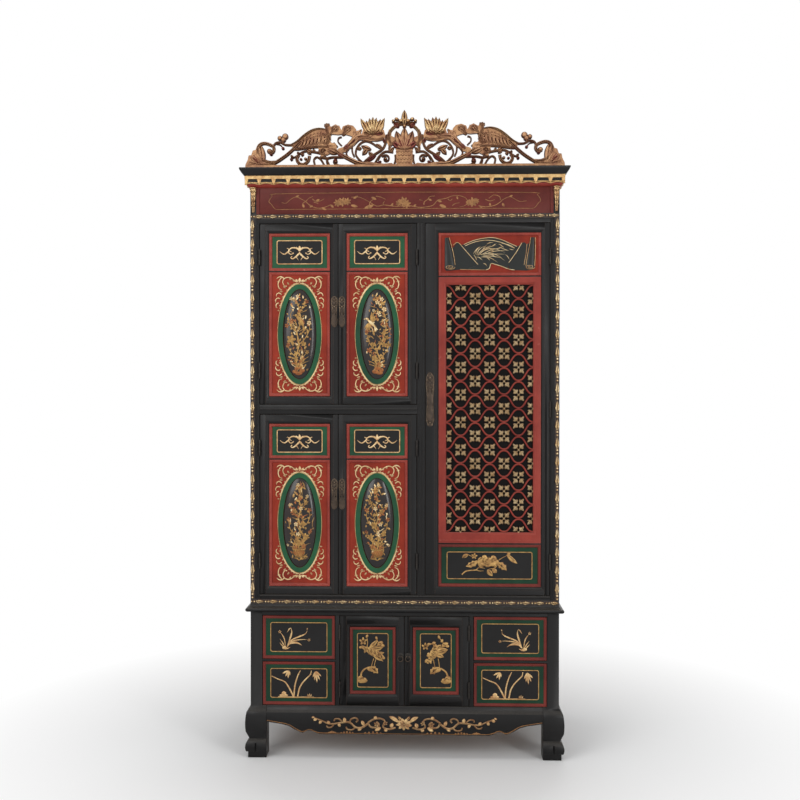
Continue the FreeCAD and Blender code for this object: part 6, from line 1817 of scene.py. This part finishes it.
def rope_units(relief, dots, low, high, across, upright, unit, size):
    """Pairs of beads and a leaf between them, along z if upright, else along x."""
    count = max(1, round((high - low) / unit))
    step = (high - low) / count
    for number in range(count):
        start = low + step * number

        def at(t, off=0.0):
            return (across + off, start + t) if upright else (start + t, across + off)
        dots.blob(*at(size), size * (0.96 if number % 3 else 0.84), rise=6.2, sides=8)
        dots.blob(*at(size * 3), size * (0.86 if number % 4 == 2 else 0.94), rise=5.8, sides=8)
        angle = 90 if upright else 0
        relief.leaf(*at(size * 4), angle, (step - size * 4) * 0.98, size * 1.75, 0, 5.2, 0, VEINED, 0.55)
        for side in (-1, 1):
            lean = -side if upright else side
            relief.leaf(*at(size * 4 + 3, side), angle + lean * 24, step * 0.26, size * 0.8, 0, 5.9)


def gilt_mouldings():
    """Ropes at the sides of the doors, over and under them, and the two capitals."""
    face, rope_x, rope_z = -233.5, (512, 527), (543, 1843)
    ground = Mesh()
    beads = Relief(flat(face - 1.6), 6.2, 1.4, ROUND, 2)
    dots = Relief(flat(face - 1.6), 6.2, 1.4, ROUND, 2)
    for side in (1, -1):
        box_mesh(ground, sorted(side * x for x in rope_x), (face - 1.6, face), rope_z)
        rope_units(beads, dots, *rope_z, side * sum(rope_x) / 2, True, 62, 5.6)
    for low, high in ((526, rope_z[0]), (rope_z[1], 1859)):
        box_mesh(ground, (-rope_x[1], rope_x[1]), (face - 1.6, face), (low, high))
        rope_units(beads, dots, -rope_x[1], rope_x[1], (low + high) / 2, False, 48, 4.6)
    # The dark ground between the beads is painted shade.
    piece = ground.piece("moulding_gap_shade", ROPE_GAP_SHADE, "case", "gilt", smooth=0, bevel=0.4, segments=1)
    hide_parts("gilt_mouldings")
    beads.carved("moulding_leaves", GOLD_PALE, "case")
    dots.carved("moulding_beads", GOLD_PALE, "case")
    capitals = Relief(flat(face), 9.0, 0.4, ROUND, 3)
    for side in (1, -1):
        centre = side * 516.5
        capitals.stroke([(centre, 1946), (centre, 1925), (centre, 1900), (centre, 1866)], [10, 9, 6.5, 4.5],
                        7.0, section=VEINED)
        capitals.stroke([(centre - 10, 1947), (centre, 1948.5), (centre + 10, 1947)], 2.6, 12.0)
        for hand in (1, -1):
            capitals.spiral(centre + hand * 5.6, 1936, 4.6, 90, 1.3, 1.6, -hand, (), 12.5)
            for level in (1916, 1900, 1884):
                capitals.leaf(centre, level, 90 - hand * 38, 12, 5, 0, 9.0)
        for level, size in ((1922, 3.4), (1906, 2.8), (1891, 2.3), (1876, 2.0)):
            capitals.blob(centre, level, size, rise=11.0, sides=8)
    capitals.carved("capitals", GOLD, "case")


gilt_mouldings()


def apron_line():
    """The thin gold line along the shaped ends of the apron's lower edge."""
    x, y, z = span("apron_front")
    relief = Relief(flat(y[0]), 0.9, 0.3, ROUND, 3)
    for side in (1, -1):
        edge = ((x[1] - 3, 129.5), (417, 121), (392, 114.5), (370, 101.5), (347, 91.6), (324, 100),
                (303, 92.2), (286, 88.4), (262, 88))
        relief.stroke([(side * u, v) for u, v in edge], 1.1)
    relief.stroke([(-262, 88), (0, 87.4), (262, 88)], 0.8, steps=2)
    for side in (1, -1):
        for low, high in ((80, 132), (176, 214), (236, 256)):
            middle = (low + high) / 2
            for spot in np.linspace(low, high, 5):
                reach = 7.5 * (1 - abs(spot - middle) / (high - low))
                relief.leaf(side * spot, 88.4, 90 - side * (spot - middle) * 1.2, reach, 6, 0, 1.2,
                            section=VEINED)
    relief.carved("apron_line", GOLD_DULL, "case")


APRON_LINES = (
    ("even", 9, ((690, 150), (660, 158), (630, 148), (640, 122), (620, 108), (586, 112), (560, 128))),
    ("even", 9, ((560, 128), (572, 148), (600, 150), (612, 136), (600, 124))),
    ("stem", 11,
     ((560, 132), (530, 152), (500, 150), (474, 128), (440, 128), (380, 136), (340, 120), (300, 106))),
    ("even", 8, ((500, 150), (486, 162), (462, 160), (456, 148))),
    ("even", 8, ((474, 128), (480, 112), (500, 106), (512, 116), (504, 126))),
    ("even", 7.5, ((440, 128), (424, 112), (404, 112), (400, 122))),
    ("even", 7.5, ((400, 134), (388, 150), (370, 152), (364, 144))))
APRON_LEAVES = (
    (18, (620, 150), (592, 168)), (18, (640, 154), (650, 170)), (16, (530, 150), (512, 168)),
    (16, (540, 142), (528, 118)), (16, (450, 128), (446, 104)), (14, (380, 136), (364, 122)),
    (14, (340, 120), (330, 138)), (14, (420, 130), (430, 150)), (14, (320, 112), (300, 120)),
    (16, (590, 112), (600, 96)), (18, (666, 150), (676, 128)))


def apron_carving():
    """The opened flower in the middle of the apron, and the scrolls to either side of it."""
    x, y, z = span("apron_carving")
    relief = Relief(flat(y[1]), 4.0, 0.4, VEINED, 3)
    middle, centre, half, tall, pixel = 730, 134, 296, (94, 149), 0.723
    grid = (middle - half / pixel, 95, middle + half / pixel, 171)
    canvas = Canvas(relief, grid, (-half, half), tall)
    for ring, count, length, width, rise, start in (
            (0, 9, 40, 15, 3.4, 10), (1, 8, 30, 12, 4.6, 30), (2, 6, 18, 10, 5.6, 20)):
        for number in range(count):
            angle = math.radians(start + 360 / count * number)
            foot = (middle + 3 * math.cos(angle), centre + 3 * math.sin(angle))
            flat_share = 0.76 - 0.05 * ring
            tip = (middle + length * math.cos(angle), centre + length * flat_share * math.sin(angle))
            canvas.leaf(width, foot, tip, 14, rise)
    canvas.blob(6, 5, (middle, centre), 0, 6.4)
    canvas.leaf(18, (702, 124), (656, 100), 30, 4.6)
    canvas.leaf(18, (758, 124), (800, 101), -30, 4.6)
    canvas.leaf(12, (716, 116), (700, 97), 20, 4.4)
    canvas.leaf(12, (744, 116), (760, 97), -20, 4.4)
    for side in (False, True):
        canvas = Canvas(relief, grid, (-half, half), tall, side)
        for kind, width, points in APRON_LINES:
            canvas.line(kind, width, points)
        for width, foot, tip in APRON_LEAVES:
            canvas.leaf(width, foot, tip, 14, 3.8)
        canvas.flower(14, (600, 134), 5, 10, 4.6, 2)
        canvas.flower(12, (642, 130), 5, 30, 4.4, 2)
        canvas.blob(8, 6, (300, 105), 20, 3.4)
    piece = relief.carved("apron_scrolls", GOLD, "case")
    apron_line()
    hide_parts("apron_carving")


apron_carving()
